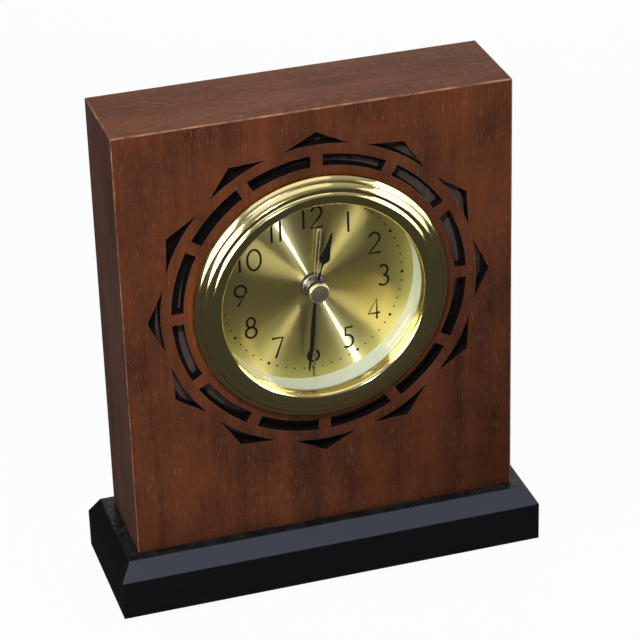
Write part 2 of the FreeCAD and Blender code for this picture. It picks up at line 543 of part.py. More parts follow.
def build_train():
    far = {layer: f"{layer} + wheel_thick" for layer in
           ("alarm_layer", "hour_layer", "motion_layer", "centre_layer", "third_layer", "second_layer",
            "step_layer")}
    right, left = 0, 180
    step_angle, rotor_angle, third_angle = worth("step_angle"), worth("rotor_angle"), worth("third_angle")

    # The minute pipe carries the cannon pinion and the centre wheel.
    cannon = gear("cannon_pinion", "cannon_teeth", "motion_module", "motion_layer", "centre_layer",
                  "minute_pipe - run_gap")
    third_pinion_phase = 0.0
    centre_phase = meshed(third_angle + 180, "small_teeth", third_pinion_phase, "centre_teeth")
    centre = gear("centre_wheel", "centre_teeth", "centre_module", "centre_layer", far["centre_layer"],
                  "minute_pipe - run_gap", phase=centre_phase)
    wheel_pipe("minute_wheel", "minute_pipe", "arbor + run_gap", "minute_boss_far",
               "middle_plate - run_gap", [cannon, centre])
    # The motion wheel and its pinion turn with the time-setting shaft.
    motion_phase = meshed(right, "cannon_teeth", 0.0, "motion_teeth")
    motion = gear("motion_gear", "motion_teeth", "motion_module", "motion_layer", far["motion_layer"],
                  x="motion_reach", phase=motion_phase)
    motion_pinion = gear("motion_pinion", "small_teeth", "hour_module", "hour_layer", "motion_layer",
                         x="motion_reach", phase=0.0)
    shaft = disc("motion_shaft", "shaft", "plate_far + run_gap", "knob_far - hand_thick", "motion_reach")
    node("motion_wheel", fuse("motion_whole", motion, motion_pinion, shaft))
    hour_phase = meshed(left, "small_teeth", 0.0, "hour_teeth")
    hour = gear("hour_gear", "hour_teeth", "hour_module", "hour_layer", far["hour_layer"],
                "minute_pipe + run_gap", phase=hour_phase)
    wheel_pipe("hour_wheel", "hour_pipe", "minute_pipe + run_gap", "hour_boss_far",
               "motion_layer - run_gap * 2", [hour])
    # The alarm pipe carries the alarm wheel, turned by the pinion on the alarm-setting shaft.
    alarm_phase = meshed(right, "alarm_pinion_teeth", 0.0, "alarm_teeth")
    alarm = gear("alarm_gear", "alarm_teeth", "alarm_module", "alarm_layer", far["alarm_layer"],
                 "hour_pipe + run_gap", phase=alarm_phase)
    wheel_pipe("alarm_wheel", "alarm_pipe", "hour_pipe + run_gap", "alarm_boss_far",
               "hour_layer - run_gap * 2", [alarm])
    pinion = gear("alarm_pinion", "alarm_pinion_teeth", "alarm_module", "alarm_layer", far["alarm_layer"],
                  x="alarm_reach", phase=0.0)
    shaft = disc("alarm_stem", "shaft", "plate_far + run_gap", "knob_far - hand_thick", "alarm_reach")
    node("alarm_shaft", fuse("alarm_shaft_whole", pinion, shaft))
    # The seconds arbor runs the whole depth, and drives the third wheel from its pinion.
    third_phase = meshed(third_angle, "small_teeth", 0.0, "third_teeth")
    second_pinion = gear("second_pinion", "small_teeth", "fine_module", "middle_far + run_gap * 2",
                         "second_layer", phase=0.0)
    step_phase = 0.0
    second_phase = meshed(step_angle + 180, "small_teeth", step_phase, "second_teeth")
    second = gear("second_gear", "second_teeth", "step_module", "second_layer", far["second_layer"],
                  phase=second_phase)
    wheel_pipe("second_wheel", "arbor", None, "cap_near + cap_step", "rear_far", [second_pinion, second])
    third = gear("third_gear", "third_teeth", "fine_module", "third_layer", far["third_layer"],
                 x="third_x", z="third_z", phase=third_phase)
    third_pinion = gear("third_pinion", "small_teeth", "centre_module", "centre_layer - run_gap",
                        "third_layer", x="third_x", z="third_z", phase=third_pinion_phase)
    third_arbor = disc("third_arbor", "pivot", "third_layer", "rear_far", "third_x", "third_z")
    node("third_wheel", fuse("third_whole", third, third_pinion, third_arbor))
    rotor_phase = 0.0
    step_gear_phase = meshed(rotor_angle + 180, "small_teeth", rotor_phase, "step_teeth")
    step = gear("step_gear", "step_teeth", "fine_module", "step_layer", far["step_layer"],
                x="step_x", z="step_z", phase=step_gear_phase)
    step_pinion = gear("step_pinion", "small_teeth", "step_module", "middle_far + run_gap * 2",
                       "step_layer", x="step_x", z="step_z", phase=step_phase)
    step_arbor = disc("step_arbor", "pivot", "middle_plate", "rear_far", "step_x", "step_z")
    node("intermediate_wheel", fuse("step_whole", step, step_pinion, step_arbor))
    rotor_pinion = gear("rotor_pinion", "small_teeth", "fine_module", "step_layer - wheel_thick",
                        "magnet_near", x="rotor_x", z="rotor_z", phase=rotor_phase)
    magnet_far = "magnet_near + magnet_thick"
    rotor_arbor = disc("rotor_arbor", "pivot", "middle_plate", "rear_far", "rotor_x", "rotor_z")
    node("rotor", fuse("rotor_whole", rotor_pinion, rotor_arbor))
    node("rotor_magnet", ring("magnet_ring", "magnet_radius", "pivot", "magnet_near", magnet_far,
                              "rotor_x", "rotor_z"))


def hand(name, side, near, boss_far, hub, bore, rest):
    """A flat hand on a deeper boss: side gives (half width, distance along) up its right edge."""
    corners = [(half, along) for half, along in side]
    corners += [(f"-({half})", along) for half, along in reversed(side)]
    blade = place(padded(f"{name}_blade", corners, "hand_thick"), setback=f"{near} + hand_thick", turn=rest)
    whole = fuse(f"{name}_whole", blade, disc(f"{name}_boss", hub, near, boss_far))
    return node(name, cut(f"{name}_cut", whole, disc(f"{name}_bore", bore, "0", "plate_near")))


def build_hands():
    spade = [("stem_half", "0"), ("stem_half", "spade_start"), ("shoulder_half", "spade_shoulder"),
             ("spade_half", "spade_wide"), ("waist_half", "spade_waist"), ("spade_end_half", "spade_end"),
             ("spire_half", "(spade_end + hour_length) / 2"), ("tip_half", "hour_length")]
    hand("hour_hand", spade, "hour_near", "hour_boss_far", "hour_hub", "minute_pipe + run_gap", "hour_rest")
    lance = [("stem_half", "0"), ("lance_half", "lance_wide"), ("lance_middle_half", "lance_middle"),
             ("tip_half", "minute_length")]
    hand("minute_hand", lance, "minute_near", "minute_boss_far", "minute_hub", "arbor + run_gap",
         "minute_rest")
    needle = [("needle_half", "0"), ("needle_middle_half", "needle_middle"), ("tip_half", "second_length")]
    hand("second_hand", needle, "second_near", "minute_near - hub_gap", "second_hub", "arbor",
         "second_rest")
    pointer = [("pointer_half", "0"), ("pointer_middle_half", "pointer_middle"), ("tip_half", "alarm_length")]
    hand("alarm_hand", pointer, "alarm_near", "alarm_boss_far", "alarm_hub", "hour_pipe + run_gap",
         "alarm_rest")
    cap_high = "second_near - cap_near"
    cap_profile = [("0", "0"), ("cap_radius", "0"), ("cap_radius", "cap_step"), ("cap_rim", cap_high),
                   ("0", cap_high)]
    cap = turned("cap_turned", cap_profile, "second_near")
    node("hand_cap", cut("cap_cut", cap, disc("cap_bore", "arbor", "cap_near + cap_step", "plate_near")))


# ---------------------------------------------------------------- motor, board and battery
def build_motor():
    stator_far = "stator_near + stator_thick"
    plate = block("stator_sheet", "-stator_half", "stator_half", "stator_near", stator_far, "stator_low",
                  "stator_high")
    window = block("stator_window", "-window_half", "window_half", "stator_near - 1", f"{stator_far} + 1",
                   "window_low", "window_high")
    eye = disc("stator_eye", "magnet_radius + rotor_gap", "stator_near - 1", f"{stator_far} + 1",
               "rotor_x", "rotor_z")
    node("stator", cut("stator_cut", plate, window, eye))
    half, flange = "coil_length / 2", "coil_radius + flange_extra"
    axis = "stator_near - core_half"
    core_edges = ("-stator_half", "stator_half", "stator_near - core_half * 2", "stator_near",
                  "coil_height - core_half", "coil_height + core_half")
    node("coil_core", block("core_bar", *core_edges))
    ends = []
    for side, left, right in (("left", f"-({half})", f"flange_thick - {half}"),
                              ("right", f"{half} - flange_thick", half)):
        ends.append(lying(f"flange_{side}", flange, left, right, axis, "coil_height"))
    drum = lying("bobbin_drum", "drum_radius", f"-({half})", half, axis, "coil_height")
    hollow = block("bobbin_hollow", *core_edges)
    node("coil_bobbin", cut("bobbin_cut", fuse("bobbin_whole", drum, *ends), hollow))
    wire = lying("wire_outer", "coil_radius", f"flange_thick - {half}", f"{half} - flange_thick", axis,
                 "coil_height")
    drum_space = lying("wire_inner", "drum_radius", f"-({half})", half, axis, "coil_height")
    node("coil_winding", cut("wire_cut", wire, drum_space))

    board_near = "middle_plate - board_thick"
    node("circuit_board", block("board_sheet", "-board_half", "board_half", board_near, "middle_plate",
                                "board_low", "board_high"))
    crystal_axis = f"{board_near} - crystal_radius"
    node("quartz_crystal", lying("crystal_can", "crystal_radius", "crystal_x", "crystal_x + crystal_length",
                                 crystal_axis, "crystal_z"))
    node("clock_chip", block("chip_body", "chip_x - chip_half", "chip_x + chip_half",
                             f"{board_near} - chip_thick", board_near, "chip_z - chip_half",
                             "chip_z + chip_half"))
    node("buzzer", disc("buzzer_disc", "buzzer_radius", "cover_setback - buzzer_thick", "cover_setback",
                        "buzzer_x", "buzzer_z"))


def build_battery():
    low, high = "-battery_drop - tray_high", "-battery_drop + tray_high"
    outer = block("tray_outer", "-tray_half", "tray_half", "plate_far", "battery_axis + battery_radius",
                  low, high)
    inner = block("tray_inner", "-(tray_half - tray_end)", "tray_half - tray_end",
                  "battery_near - battery_gap", "can_length", f"{low} + tray_wall", f"{high} - tray_wall")
    ledge_space = ring("tray_relief", "can_outer", "ledge_inner - shell_fit", "plate_far - 1",
                       "plate_far + ledge_thick + shell_fit")
    node("battery_tray", cut("tray_cut", outer, inner, ledge_space))
    end = "tray_half - tray_end"
    near_end = f"{end} - contact_thick"
    square = ("battery_axis - contact_half", "battery_axis + contact_half",
              "-battery_drop - contact_half", "-battery_drop + contact_half")
    node("contact_plus", block("plus_plate", near_end, end, *square))
    plate = block("minus_plate", f"-({end})", f"-({near_end})", *square)
    left = f"-({near_end}) + spring_rise"
    button = lying("minus_button", "spring_radius", f"-({near_end})", left, "battery_axis", "-battery_drop")
    node("contact_minus", fuse("contact_minus_whole", plate, button))
    right = f"{near_end} - battery_gap"
    shoulder = f"{right} - nipple_length"
    cell = lying("battery_cell", "battery_radius", left, shoulder, "battery_axis", "-battery_drop")
    nipple = lying("battery_nipple", "nipple_radius", shoulder, right, "battery_axis", "-battery_drop")
    node("battery", fuse("battery_whole", cell, nipple))


# ---------------------------------------------------------------- rear cover and controls
def build_rear():
    plate = disc("cover_disc", "can_inner - shell_fit", "cover_setback", "can_length")
    rail = ("-rail_long / 2", "rail_long / 2")
    rail_far = "door_far + door_gap"
    inner, outer = "(door_tall / 2 + door_gap)", "(door_tall / 2 + door_gap + rail_wall)"
    lip = "(door_tall / 2 + door_gap * 2 - rail_lip)"
    walls = [block("rail_low", *rail, "cover_setback", rail_far, f"-battery_drop - {outer}",
                   f"-battery_drop - {inner}"),
             block("rail_high", *rail, "cover_setback", rail_far, f"-battery_drop + {inner}",
                   f"-battery_drop + {outer}"),
             block("lip_low", *rail, rail_far, f"{rail_far} + rail_wall / 2", f"-battery_drop - {outer}",
                   f"-battery_drop - {lip}"),
             block("lip_high", *rail, rail_far, f"{rail_far} + rail_wall / 2", f"-battery_drop + {lip}",
                   f"-battery_drop + {outer}")]
    opening = block("battery_opening", "-door_opening / 2", "door_opening / 2", "cover_setback - 1",
                    "can_length + 1", "-battery_drop - battery_radius - battery_gap",
                    "-battery_drop + battery_radius + battery_gap")
    through = ("cover_setback - 1", "can_length + 1")
    slot_end = "switch_x + switch_neck + switch_travel + switch_gap"
    bores = [opening, disc("time_port", "collar_radius + shaft_gap", *through, "motion_reach"),
             disc("alarm_port", "collar_radius + shaft_gap", *through, "alarm_reach"),
             block("switch_slot", "switch_x - switch_neck - switch_gap", slot_end, *through,
                   "switch_z - switch_half_high - switch_gap", "switch_z + switch_half_high + switch_gap"),
             disc("grille_centre", "grille_hole", *through, "buzzer_x", "buzzer_z")]
    for index, x, z in around(round(worth("grille_count")), "grille_circle"):
        bores.append(disc(f"grille_{index}", "grille_hole", *through, f"buzzer_x + {x}", f"buzzer_z + {z}"))
    screws = []
    for index, x, z in boss_spots():
        bores.append(disc(f"cover_bore_{index}", "small_screw_radius + pilot_gap", *through, x, z))
        head = disc(f"cover_head_{index}", "small_head", "can_length", "can_length + small_head_thick", x, z)
        shank = disc(f"cover_shank_{index}", "small_screw_radius", "screw_start", "can_length", x, z)
        screws.append(fuse(f"cover_screw_{index}", head, shank))
    node("rear_cover", cut("cover_cut", fuse("cover_whole", plate, *walls), *bores))
    node("cover_screws", group("cover_screw_set", *screws))

    low, high = "-battery_drop - door_tall / 2", "-battery_drop + door_tall / 2"
    door = block("door_sheet", "-door_long / 2", "door_long / 2", "door_near", "door_far", low, high)
    count = round(worth("grip_ribs"))
    starts = [f"door_long / 2 - {count - index} * rib_pitch" for index in range(count)]
    ribs = [block(f"rib_{index}", start, f"{start} + rib_thick", "door_far", "door_far + rib_thick",
                  f"{low} + rail_lip * 2", f"{high} - rail_lip * 2") for index, start in enumerate(starts)]
    node("battery_door", fuse("door_whole", door, *ribs))

    cap_near = "can_length + switch_gap"
    neck = block("switch_stem", "switch_x - switch_neck", "switch_x + switch_neck", "switch_far", cap_near,
                 "switch_z - switch_half_high", "switch_z + switch_half_high")
    cap = block("switch_thumb", "switch_x - switch_cap", "switch_x + switch_cap", cap_near,
                f"{cap_near} + switch_cap_thick", "switch_z - switch_cap_high", "switch_z + switch_cap_high")
    foot = block("switch_foot", "switch_x - switch_cap", "switch_x + switch_cap",
                 "switch_far - switch_foot_thick", "switch_far", "switch_z - switch_cap_high",
                 "switch_z + switch_cap_high")
    node("alarm_switch", fuse("switch_whole", neck, cap, foot))
    leaf = block("leaf_strip", "switch_x - switch_cap", "switch_x - switch_cap + leaf_long", "rear_far",
                 "rear_far + leaf_thick", "switch_z - leaf_high / 2", "switch_z + leaf_high / 2")
    node("switch_contact", leaf)

    for label, x in (("time_knob", "motion_reach"), ("alarm_knob", "alarm_reach")):
        wheel = disc(f"{label}_wheel", "knob_radius", "knob_near", "knob_far", x)
        collar = disc(f"{label}_collar", "collar_radius", "cover_setback", "knob_near", x)
        flutes = [disc(f"{label}_flute_{index}", "flute_radius", "knob_near - 1", "knob_far + 1",
                       f"{x} + {dx}", dz)
                  for index, dx, dz in around(round(worth("flute_count")), "knob_radius")]
        socket = disc(f"{label}_socket", "shaft", "cover_setback - 1", "knob_far - hand_thick", x)
        node(label, cut(f"{label}_cut", fuse(f"{label}_solid", wheel, collar), socket, *flutes))


build_case()
build_plinth()
build_shell()
build_plates()
build_train()
build_hands()
build_motor()
build_battery()
build_rear()
doc.recompute()

# ---------------------------------------------------------------- check and write
faults = [f"{thing.Label}: {thing.State}" for thing in doc.Objects
          if "Invalid" in thing.State or "Error" in thing.State]
for label, thing in NODES.items():
    if thing.Shape.isNull() or not thing.Shape.isValid() or not thing.Shape.Solids:
        faults.append(f"{label}: no valid solid")
if faults:
    raise RuntimeError("; ".join(faults))
os.makedirs("parts", exist_ok=True)
for label, thing in NODES.items():
    thing.Shape.exportStep(f"parts/{label}.step")
    print(f"{label}: {len(thing.Shape.Solids)} solid(s), {thing.Shape.Volume:.1f} mm3")
print(f"{len(NODES)} nodes")
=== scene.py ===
# %% [markdown]
# # A mantel alarm clock
# A square wooden case with a pierced ring stands on a black plinth, and a round brass alarm insert sits in
# its front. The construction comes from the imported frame, so every piece already has its place. This lesson
# gives each surface its finish, and models again the few pieces whose shape is finer than the solids.
# Lengths are in metres. The dial faces -Y, and +Z is up.

# %% Load the frame
import bpy
import json
from math import cos, sin, radians, pi, tau, atan2, hypot
from mathutils import Vector, Matrix


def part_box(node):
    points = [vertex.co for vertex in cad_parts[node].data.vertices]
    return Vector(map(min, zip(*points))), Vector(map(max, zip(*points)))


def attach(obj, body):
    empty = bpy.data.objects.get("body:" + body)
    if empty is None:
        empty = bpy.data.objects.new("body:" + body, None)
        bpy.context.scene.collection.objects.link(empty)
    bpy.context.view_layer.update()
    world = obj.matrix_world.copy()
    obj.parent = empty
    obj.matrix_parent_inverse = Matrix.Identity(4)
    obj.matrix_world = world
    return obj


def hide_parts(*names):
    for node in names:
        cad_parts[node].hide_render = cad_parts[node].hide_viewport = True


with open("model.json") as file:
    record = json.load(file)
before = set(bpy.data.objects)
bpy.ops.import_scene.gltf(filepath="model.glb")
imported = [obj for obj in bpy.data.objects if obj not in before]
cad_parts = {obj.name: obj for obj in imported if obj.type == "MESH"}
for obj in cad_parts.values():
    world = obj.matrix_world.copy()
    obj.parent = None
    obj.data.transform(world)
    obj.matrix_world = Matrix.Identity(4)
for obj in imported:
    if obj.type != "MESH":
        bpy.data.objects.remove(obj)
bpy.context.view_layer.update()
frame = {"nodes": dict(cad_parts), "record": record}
NODES = frame["nodes"]
MM = 0.001

# %% [markdown]
# ## Where things are
# The dial's middle is where the hands turn, and most of the insert is round about that axis. The places come
# from the frame's own boxes, so a change of the solids moves the looks with them.

# %% Places
def middle(name):
    low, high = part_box(name)
    return (low + high) / 2


CASE_LOW, CASE_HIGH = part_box("front_panel")
BACK_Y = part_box("back_panel")[1].y
FRONT_Y = CASE_LOW.y
HUB = Vector((middle("dial").x, 0, middle("dial").z))
DIAL_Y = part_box("dial")[0].y
print("hub", HUB, "dial face", DIAL_Y)

# %% [markdown]
# ## Helpers that act like a hand on the mouse
# An operator acts on all that is selected, so each helper starts by selecting just its piece. The same could
# be done in mesh code, but then the steps wouldn't be those of the menus. A finished piece stands at the
# origin with its place in its mesh, which is what applying the transform does.

# %% Selection helpers
def pick(*pieces):
    """Select only these pieces. The first is active."""
    if bpy.context.mode != "OBJECT":
        bpy.ops.object.mode_set(mode="OBJECT")
    bpy.ops.object.select_all(action="DESELECT")
    for piece in pieces:
        piece.select_set(True)
    bpy.context.view_layer.objects.active = pieces[0]
    return pieces[0]


def settle(piece):
    """Apply the transform, so that the piece's place is in its mesh."""
    pick(piece)
    bpy.ops.object.transform_apply(location=True, rotation=True, scale=True)
    return piece


def apply_modifiers(piece):
    pick(piece)
    for modifier in list(piece.modifiers):
        bpy.ops.object.modifier_apply(modifier=modifier.name)
    return piece


def join(name, *pieces):
    pick(*pieces)
    if len(pieces) > 1:
        bpy.ops.object.join()
    pieces[0].name = name
    return pieces[0]


# %% [markdown]
# ## Welding
# A solid comes in as loose triangles, which a bevel can't follow. So a copy of it is welded, and its flat
# triangles are joined into whole faces. The solid itself is left as it is, because the frame is checked
# against it. The same weld closes the seam of a turned piece.

# %% Weld helpers
TOUCHING = 2e-6
FLAT_ANGLE = radians(0.5)


def weld(piece, reach=TOUCHING, flatten=False):
    """Merge points that touch. Then join flat neighbours into one face, or else turn all faces outwards."""
    pick(piece)
    bpy.ops.object.mode_set(mode="EDIT")
    bpy.ops.mesh.select_all(action="SELECT")
    bpy.ops.mesh.remove_doubles(threshold=reach)
    if flatten:
        bpy.ops.mesh.dissolve_limited(angle_limit=FLAT_ANGLE)
    else:
        bpy.ops.mesh.normals_make_consistent(inside=False)
    bpy.ops.object.mode_set(mode="OBJECT")
    return piece


def merged_copy(node, name):
    """A copy of a solid's mesh with its loose triangles welded, ready for modifiers."""
    pick(NODES[node])
    bpy.ops.object.duplicate()
    piece = bpy.context.view_layer.objects.active
    piece.name = name
    piece.parent = None
    for key in list(piece.keys()):
        del piece[key]
    return weld(piece, flatten=True)


# %% [markdown]
# ## Rounding, shading and handing over
# No real edge is quite sharp, and a narrow round is what makes it catch the light. Smooth shading alone would
# bend the light over the large faces too, so the normals are weighted towards them. A finished piece is then
# handed over: it takes a material, a body to ride on and the solids that it stands for.

# %% Finishing helpers
SMOOTH_ANGLE = radians(35)


def smooth(piece):
    """Smooth shading with crisp corners, and normals that keep the large faces flat."""
    pick(piece)
    bpy.ops.object.shade_smooth_by_angle(angle=SMOOTH_ANGLE)
    even = piece.modifiers.new("even", "WEIGHTED_NORMAL")
    even.keep_sharp = True
    return apply_modifiers(piece)


def soften(piece, width, segments=3, angle=40):
    """Round the edges that are sharper than the angle, as sanding and handling do."""
    bevel = piece.modifiers.new("edge", "BEVEL")
    bevel.width = width
    bevel.segments = segments
    bevel.limit_method = "ANGLE"
    bevel.angle_limit = radians(angle)
    bevel.use_clamp_overlap = True
    return smooth(apply_modifiers(piece))


def dress(piece, body, material, slot, *nodes):
    """Finish a new piece: its material, the body that it rides on, and the solids that it stands for."""
    if material:
        piece.data.materials.clear()
        piece.data.materials.append(material)
    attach(piece, body)
    if nodes:
        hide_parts(*nodes)
    print("piece", piece.name, len(piece.data.polygons), "faces")
    return piece


# %% [markdown]
# ## Building materials
# Each finish is a small node tree on Object coordinates, which stay with the piece. The helpers below add a
# node, wire what is given and return its output, so that a material reads from top to bottom.

# %% Material helpers
class Finish:
    """A material under construction: a Principled shader and short ways to feed it."""

    def __init__(self, name, color=(0.5, 0.5, 0.5), **sockets):
        self.material = bpy.data.materials.new(name)
        self.material.use_nodes = True
        self.tree = self.material.node_tree
        self.shader = self.tree.nodes["Principled BSDF"]
        self.shader.inputs["Base Color"].default_value = (*color, 1)
        for socket, value in sockets.items():
            self.shader.inputs[socket.replace("_", " ")].default_value = value
        self.coords = None

    def add(self, kind, output=0, settings=None, **inputs):
        """Add a node. An input goes by its name, or by its number as i0, i1 and so on."""
        node = self.tree.nodes.new(kind)
        for key, value in (settings or {}).items():
            setattr(node, key, value)
        for key, value in inputs.items():
            numbered = key[0] == "i" and key[1:].isdigit()
            self.feed(node.inputs[int(key[1:]) if numbered else key.replace("_", " ")], value)
        return node.outputs[output]

    def feed(self, socket, value):
        """Wire an output to a socket, or set the socket to a plain value."""
        if isinstance(value, bpy.types.NodeSocket):
            self.tree.links.new(value, socket)
        else:
            socket.default_value = value

    def place(self, scale=(1, 1, 1), shift=(0, 0, 0)):
        """Object coordinates, scaled and shifted."""
        if self.coords is None:
            self.coords = self.add("ShaderNodeTexCoord", "Object")
        return self.add("ShaderNodeMapping", Vector=self.coords, Scale=scale, Location=shift)

    def noise(self, where, scale, detail=3.0, rough=0.55, warp=0.0):
        return self.add("ShaderNodeTexNoise", "Fac", Vector=where, Scale=scale, Detail=detail,
                        Roughness=rough, Distortion=warp)

    def ramp(self, value, *stops):
        """A colour ramp. Each stop has its place and its colour, where a plain number is a grey."""
        node = self.tree.nodes.new("ShaderNodeValToRGB")
        self.tree.links.new(value, node.inputs[0])
        elements = node.color_ramp.elements
        for index, (spot, color) in enumerate(stops):
            element = elements[index] if index < 2 else elements.new(spot)
            element.position = spot
            color = (color,) * 3 if isinstance(color, (int, float)) else color
            element.color = (*color, 1)
        return node.outputs[0]

    def blend(self, share, first, second, how="MIX"):
        node = self.tree.nodes.new("ShaderNodeMix")
        node.data_type = "RGBA"
        node.blend_type = how
        for socket, value in ((node.inputs[0], share), (node.inputs[6], first), (node.inputs[7], second)):
            if isinstance(value, tuple):
                value = (*value, 1)
            self.feed(socket, value)
        return node.outputs[2]

    def surface(self, shader):
        """Use this shader in place of the plain one."""
        self.feed(self.tree.nodes["Material Output"].inputs[0], shader)
        return self.material

    def round_hub(self):
        """How far a point lies to the right of the hub, above it, and from it."""
        parts = self.tree.nodes.new("ShaderNodeSeparateXYZ")
        self.feed(parts.inputs[0], self.place(shift=tuple(-HUB)))
        right, up = parts.outputs[0], parts.outputs[2]
        squares = [self.math("MULTIPLY", part, part) for part in (right, up)]
        return right, up, self.math("SQRT", self.math("ADD", *squares))

    def math(self, how, first, second=0.0):
        return self.add("ShaderNodeMath", settings={"operation": how}, i0=first, i1=second)

    def bump(self, height, strength, distance=0.0002):
        normal = self.add("ShaderNodeBump", Height=height, Strength=strength, Distance=distance)
        self.feed(self.shader.inputs["Normal"], normal)
        return self

    def color(self, value):
        self.feed(self.shader.inputs["Base Color"], value)
        return self

    def rough(self, value):
        self.feed(self.shader.inputs["Roughness"], value)
        return self


# %% [markdown]
# ## Mahogany veneer
# Veneer is a thin slice of wood, lacquered satin. What the eye reads is grain: long soft bands of darker and
# redder wood, and short fine pores that run the same way and catch the light. An image of wood would repeat
# and would have to be laid on by hand. Noise that is stretched along the grain makes both at any size.
# The grain is vertical on the front, back and sides, and runs across on the top.

# %% Veneer
def veneer(name, deep, light, pore, along="Z", pore_share=0.5, shine=0.02, painted_shade=None):
    """Lacquered veneer whose grain runs along an axis. Colours are for the bands and the pores."""
    wood = Finish(name, light, Roughness=0.5, Specular_IOR_Level=shine)

    def drawn_out(share):
        return wood.place({"X": (share, 1, 1), "Z": (1, 1, share)}[along])

    bands = wood.noise(drawn_out(0.05), 95, 5, 0.62, 0.5)
    fibres = wood.noise(drawn_out(0.03), 2600, 3, 0.75)
    cloud = wood.noise(drawn_out(0.55), 48, 4, 0.6)
    mixed = wood.math("ADD", wood.math("MULTIPLY", bands, 0.42), wood.math("MULTIPLY", cloud, 0.58))
    tone = wood.ramp(mixed, (0.37, deep), (0.61, light))
    tone = wood.blend(0.55, tone, wood.ramp(fibres, (0.30, 0.45), (0.66, 1.0)), "MULTIPLY")
    pits = wood.ramp(wood.noise(drawn_out(0.055), 4300, 2, 0.5), (0.60, 0.0), (0.70, 1.0))
    patches = wood.ramp(wood.noise(drawn_out(0.3), 130, 3), (0.40, 0.15), (0.62, 1.0))
    pits = wood.math("MULTIPLY", pits, patches)
    specks = wood.ramp(wood.noise(wood.place(), 2400, 1, 0.4), (0.69, 0.0), (0.76, 0.8))
    marks = wood.math("MAXIMUM", pits, specks)
    tone = wood.blend(wood.math("MULTIPLY", marks, pore_share), tone, pore)
    # painted shade: the wood is darkened towards one corner, where less light falls
    if painted_shade:  # a darker patch: its middle across and up, its reach, and what is left of the light there
        across, up, reach, share = painted_shade
        away = wood.add("ShaderNodeVectorMath", "Value", {"operation": "LENGTH"},
                        i0=wood.place((1, 0, 1), shift=(-across, 0, -up)))
        shade = wood.add("ShaderNodeMapRange", settings={"interpolation_type": "SMOOTHSTEP"}, Value=away,
                         From_Max=reach, To_Min=share)
        tone = wood.blend(1.0, tone, shade, "MULTIPLY")
    wood.color(tone)
    return wood.bump(wood.math("SUBTRACT", wood.math("MULTIPLY", fibres, 0.5), pits), 0.16, 0.0001).material


# Painted shade: the front is darker towards its lower right corner, where the light falls off.
PAINTED_SHADE_CORNER = (0.075, 0.012, 0.1, 0.45)
VENEER_FRONT = veneer("veneer_front", (0.060, 0.021, 0.0125), (0.182, 0.053, 0.0195), (0.40, 0.19, 0.095),
                      painted_shade=PAINTED_SHADE_CORNER)
VENEER_SIDE = veneer("veneer_side", (0.078, 0.040, 0.029), (0.150, 0.074, 0.052), (0.25, 0.14, 0.10),
                     pore_share=0.3, shine=0.03)
VENEER_TOP = veneer("veneer_top", (0.127, 0.042, 0.018), (0.208, 0.068, 0.031), (0.40, 0.23, 0.14),
                    along="X", pore_share=0.75, shine=0.03)


def worn():
    """Along an edge the staining is rubbed thin, and the pale wood shows through in places."""
    edge = Finish("worn_edge", (0.33, 0.15, 0.085), Roughness=0.4)
    rubbed = edge.noise(edge.place(), 170, 4, 0.65)
    return edge.color(edge.ramp(rubbed, (0.38, (0.12, 0.040, 0.017)), (0.64, (0.50, 0.21, 0.075)))).material


WORN = worn()
print("woods", [wood.name for wood in (VENEER_FRONT, VENEER_SIDE, VENEER_TOP, WORN)])

# %% [markdown]
# ## Stained cuts and the board behind them
# Where the pattern is cut through the front panel, the walls are stained near black, and the board behind
# shows as a dark floor. The floor is painted near black as shade, and a painted lit strip runs along each
# inner wall, where light reaches the floor, widest towards two bearings. That is worked out from the angle
# and the distance to the hub.

# %% Cut edges and backing board
def charred():
    soot = Finish("charred_edge", (0.01, 0.008, 0.008), Roughness=0.8, Specular_IOR_Level=0.02)
    patch = soot.noise(soot.place(), 600, 4)
    soot.color(soot.ramp(patch, (0.35, (0.005, 0.004, 0.004)), (0.75, (0.015, 0.011, 0.01))))
    return soot.bump(soot.noise(soot.place(), 1800), 0.3).material


INNER_WALLS = (45.3 * MM, 52.6 * MM)
# Painted lit strips on the shaded floor: a bearing, a sharpness and a greatest width each.
PAINTED_LIT_STRIPS = ((72, 1.0, 2.9 * MM), (230, 4.0, 3.2 * MM))
STRIP_FRAY, STRIP_FADE, UNDER_WALL = 0.8 * MM, 0.25 * MM, 0.3 * MM


def backing():
    """A board painted near black as shade, with painted lit strips. Each strip has a bearing, a sharpness and
    a greatest width.
    """
    board = Finish("backing_board", (0.1, 0.08, 0.07), Roughness=0.75, Specular_IOR_Level=0.03)
    grain = board.noise(board.place((1, 1, 0.3)), 420, 5, 0.65)
    painted_lit = board.ramp(grain, (0.3, (0.065, 0.046, 0.038)), (0.75, (0.13, 0.098, 0.083)))
    right, up, radius = board.round_hub()
    turn = board.math("ARCTAN2", right, up)
    lit_width = 0.0
    for bearing, power, width in PAINTED_LIT_STRIPS:
        lee = board.math("MAXIMUM", board.math("COSINE", board.math("SUBTRACT", turn, radians(bearing))), 0.0)
        lit_width = board.math("MAXIMUM", lit_width, board.math("MULTIPLY", board.math("POWER", lee, power), width))
    fray = board.math("MULTIPLY", board.math("SUBTRACT", grain, 0.5), STRIP_FRAY)
    lit_width = board.math("ADD", lit_width, fray)
    share = 0.0
    for inner in INNER_WALLS:
        past = board.math("SUBTRACT", radius, inner)
        within_lit = board.math("MULTIPLY", board.math("SUBTRACT", lit_width, past), 1 / STRIP_FADE)
        near = board.math("GREATER_THAN", past, -UNDER_WALL)
        share = board.math("MAXIMUM", share, board.math("MULTIPLY", within_lit, near))
    share = board.math("MINIMUM", share, 1.0)
    # painted shade: near black over the board, with the board's own colour only in the painted lit strips
    board.color(board.blend(share, (0.011, 0.0085, 0.008), painted_lit))
    return board.bump(grain, 0.35).material


CHARRED = charred()
BACKING = backing()
print("bare strips", len(PAINTED_LIT_STRIPS), "along walls at", INNER_WALLS)
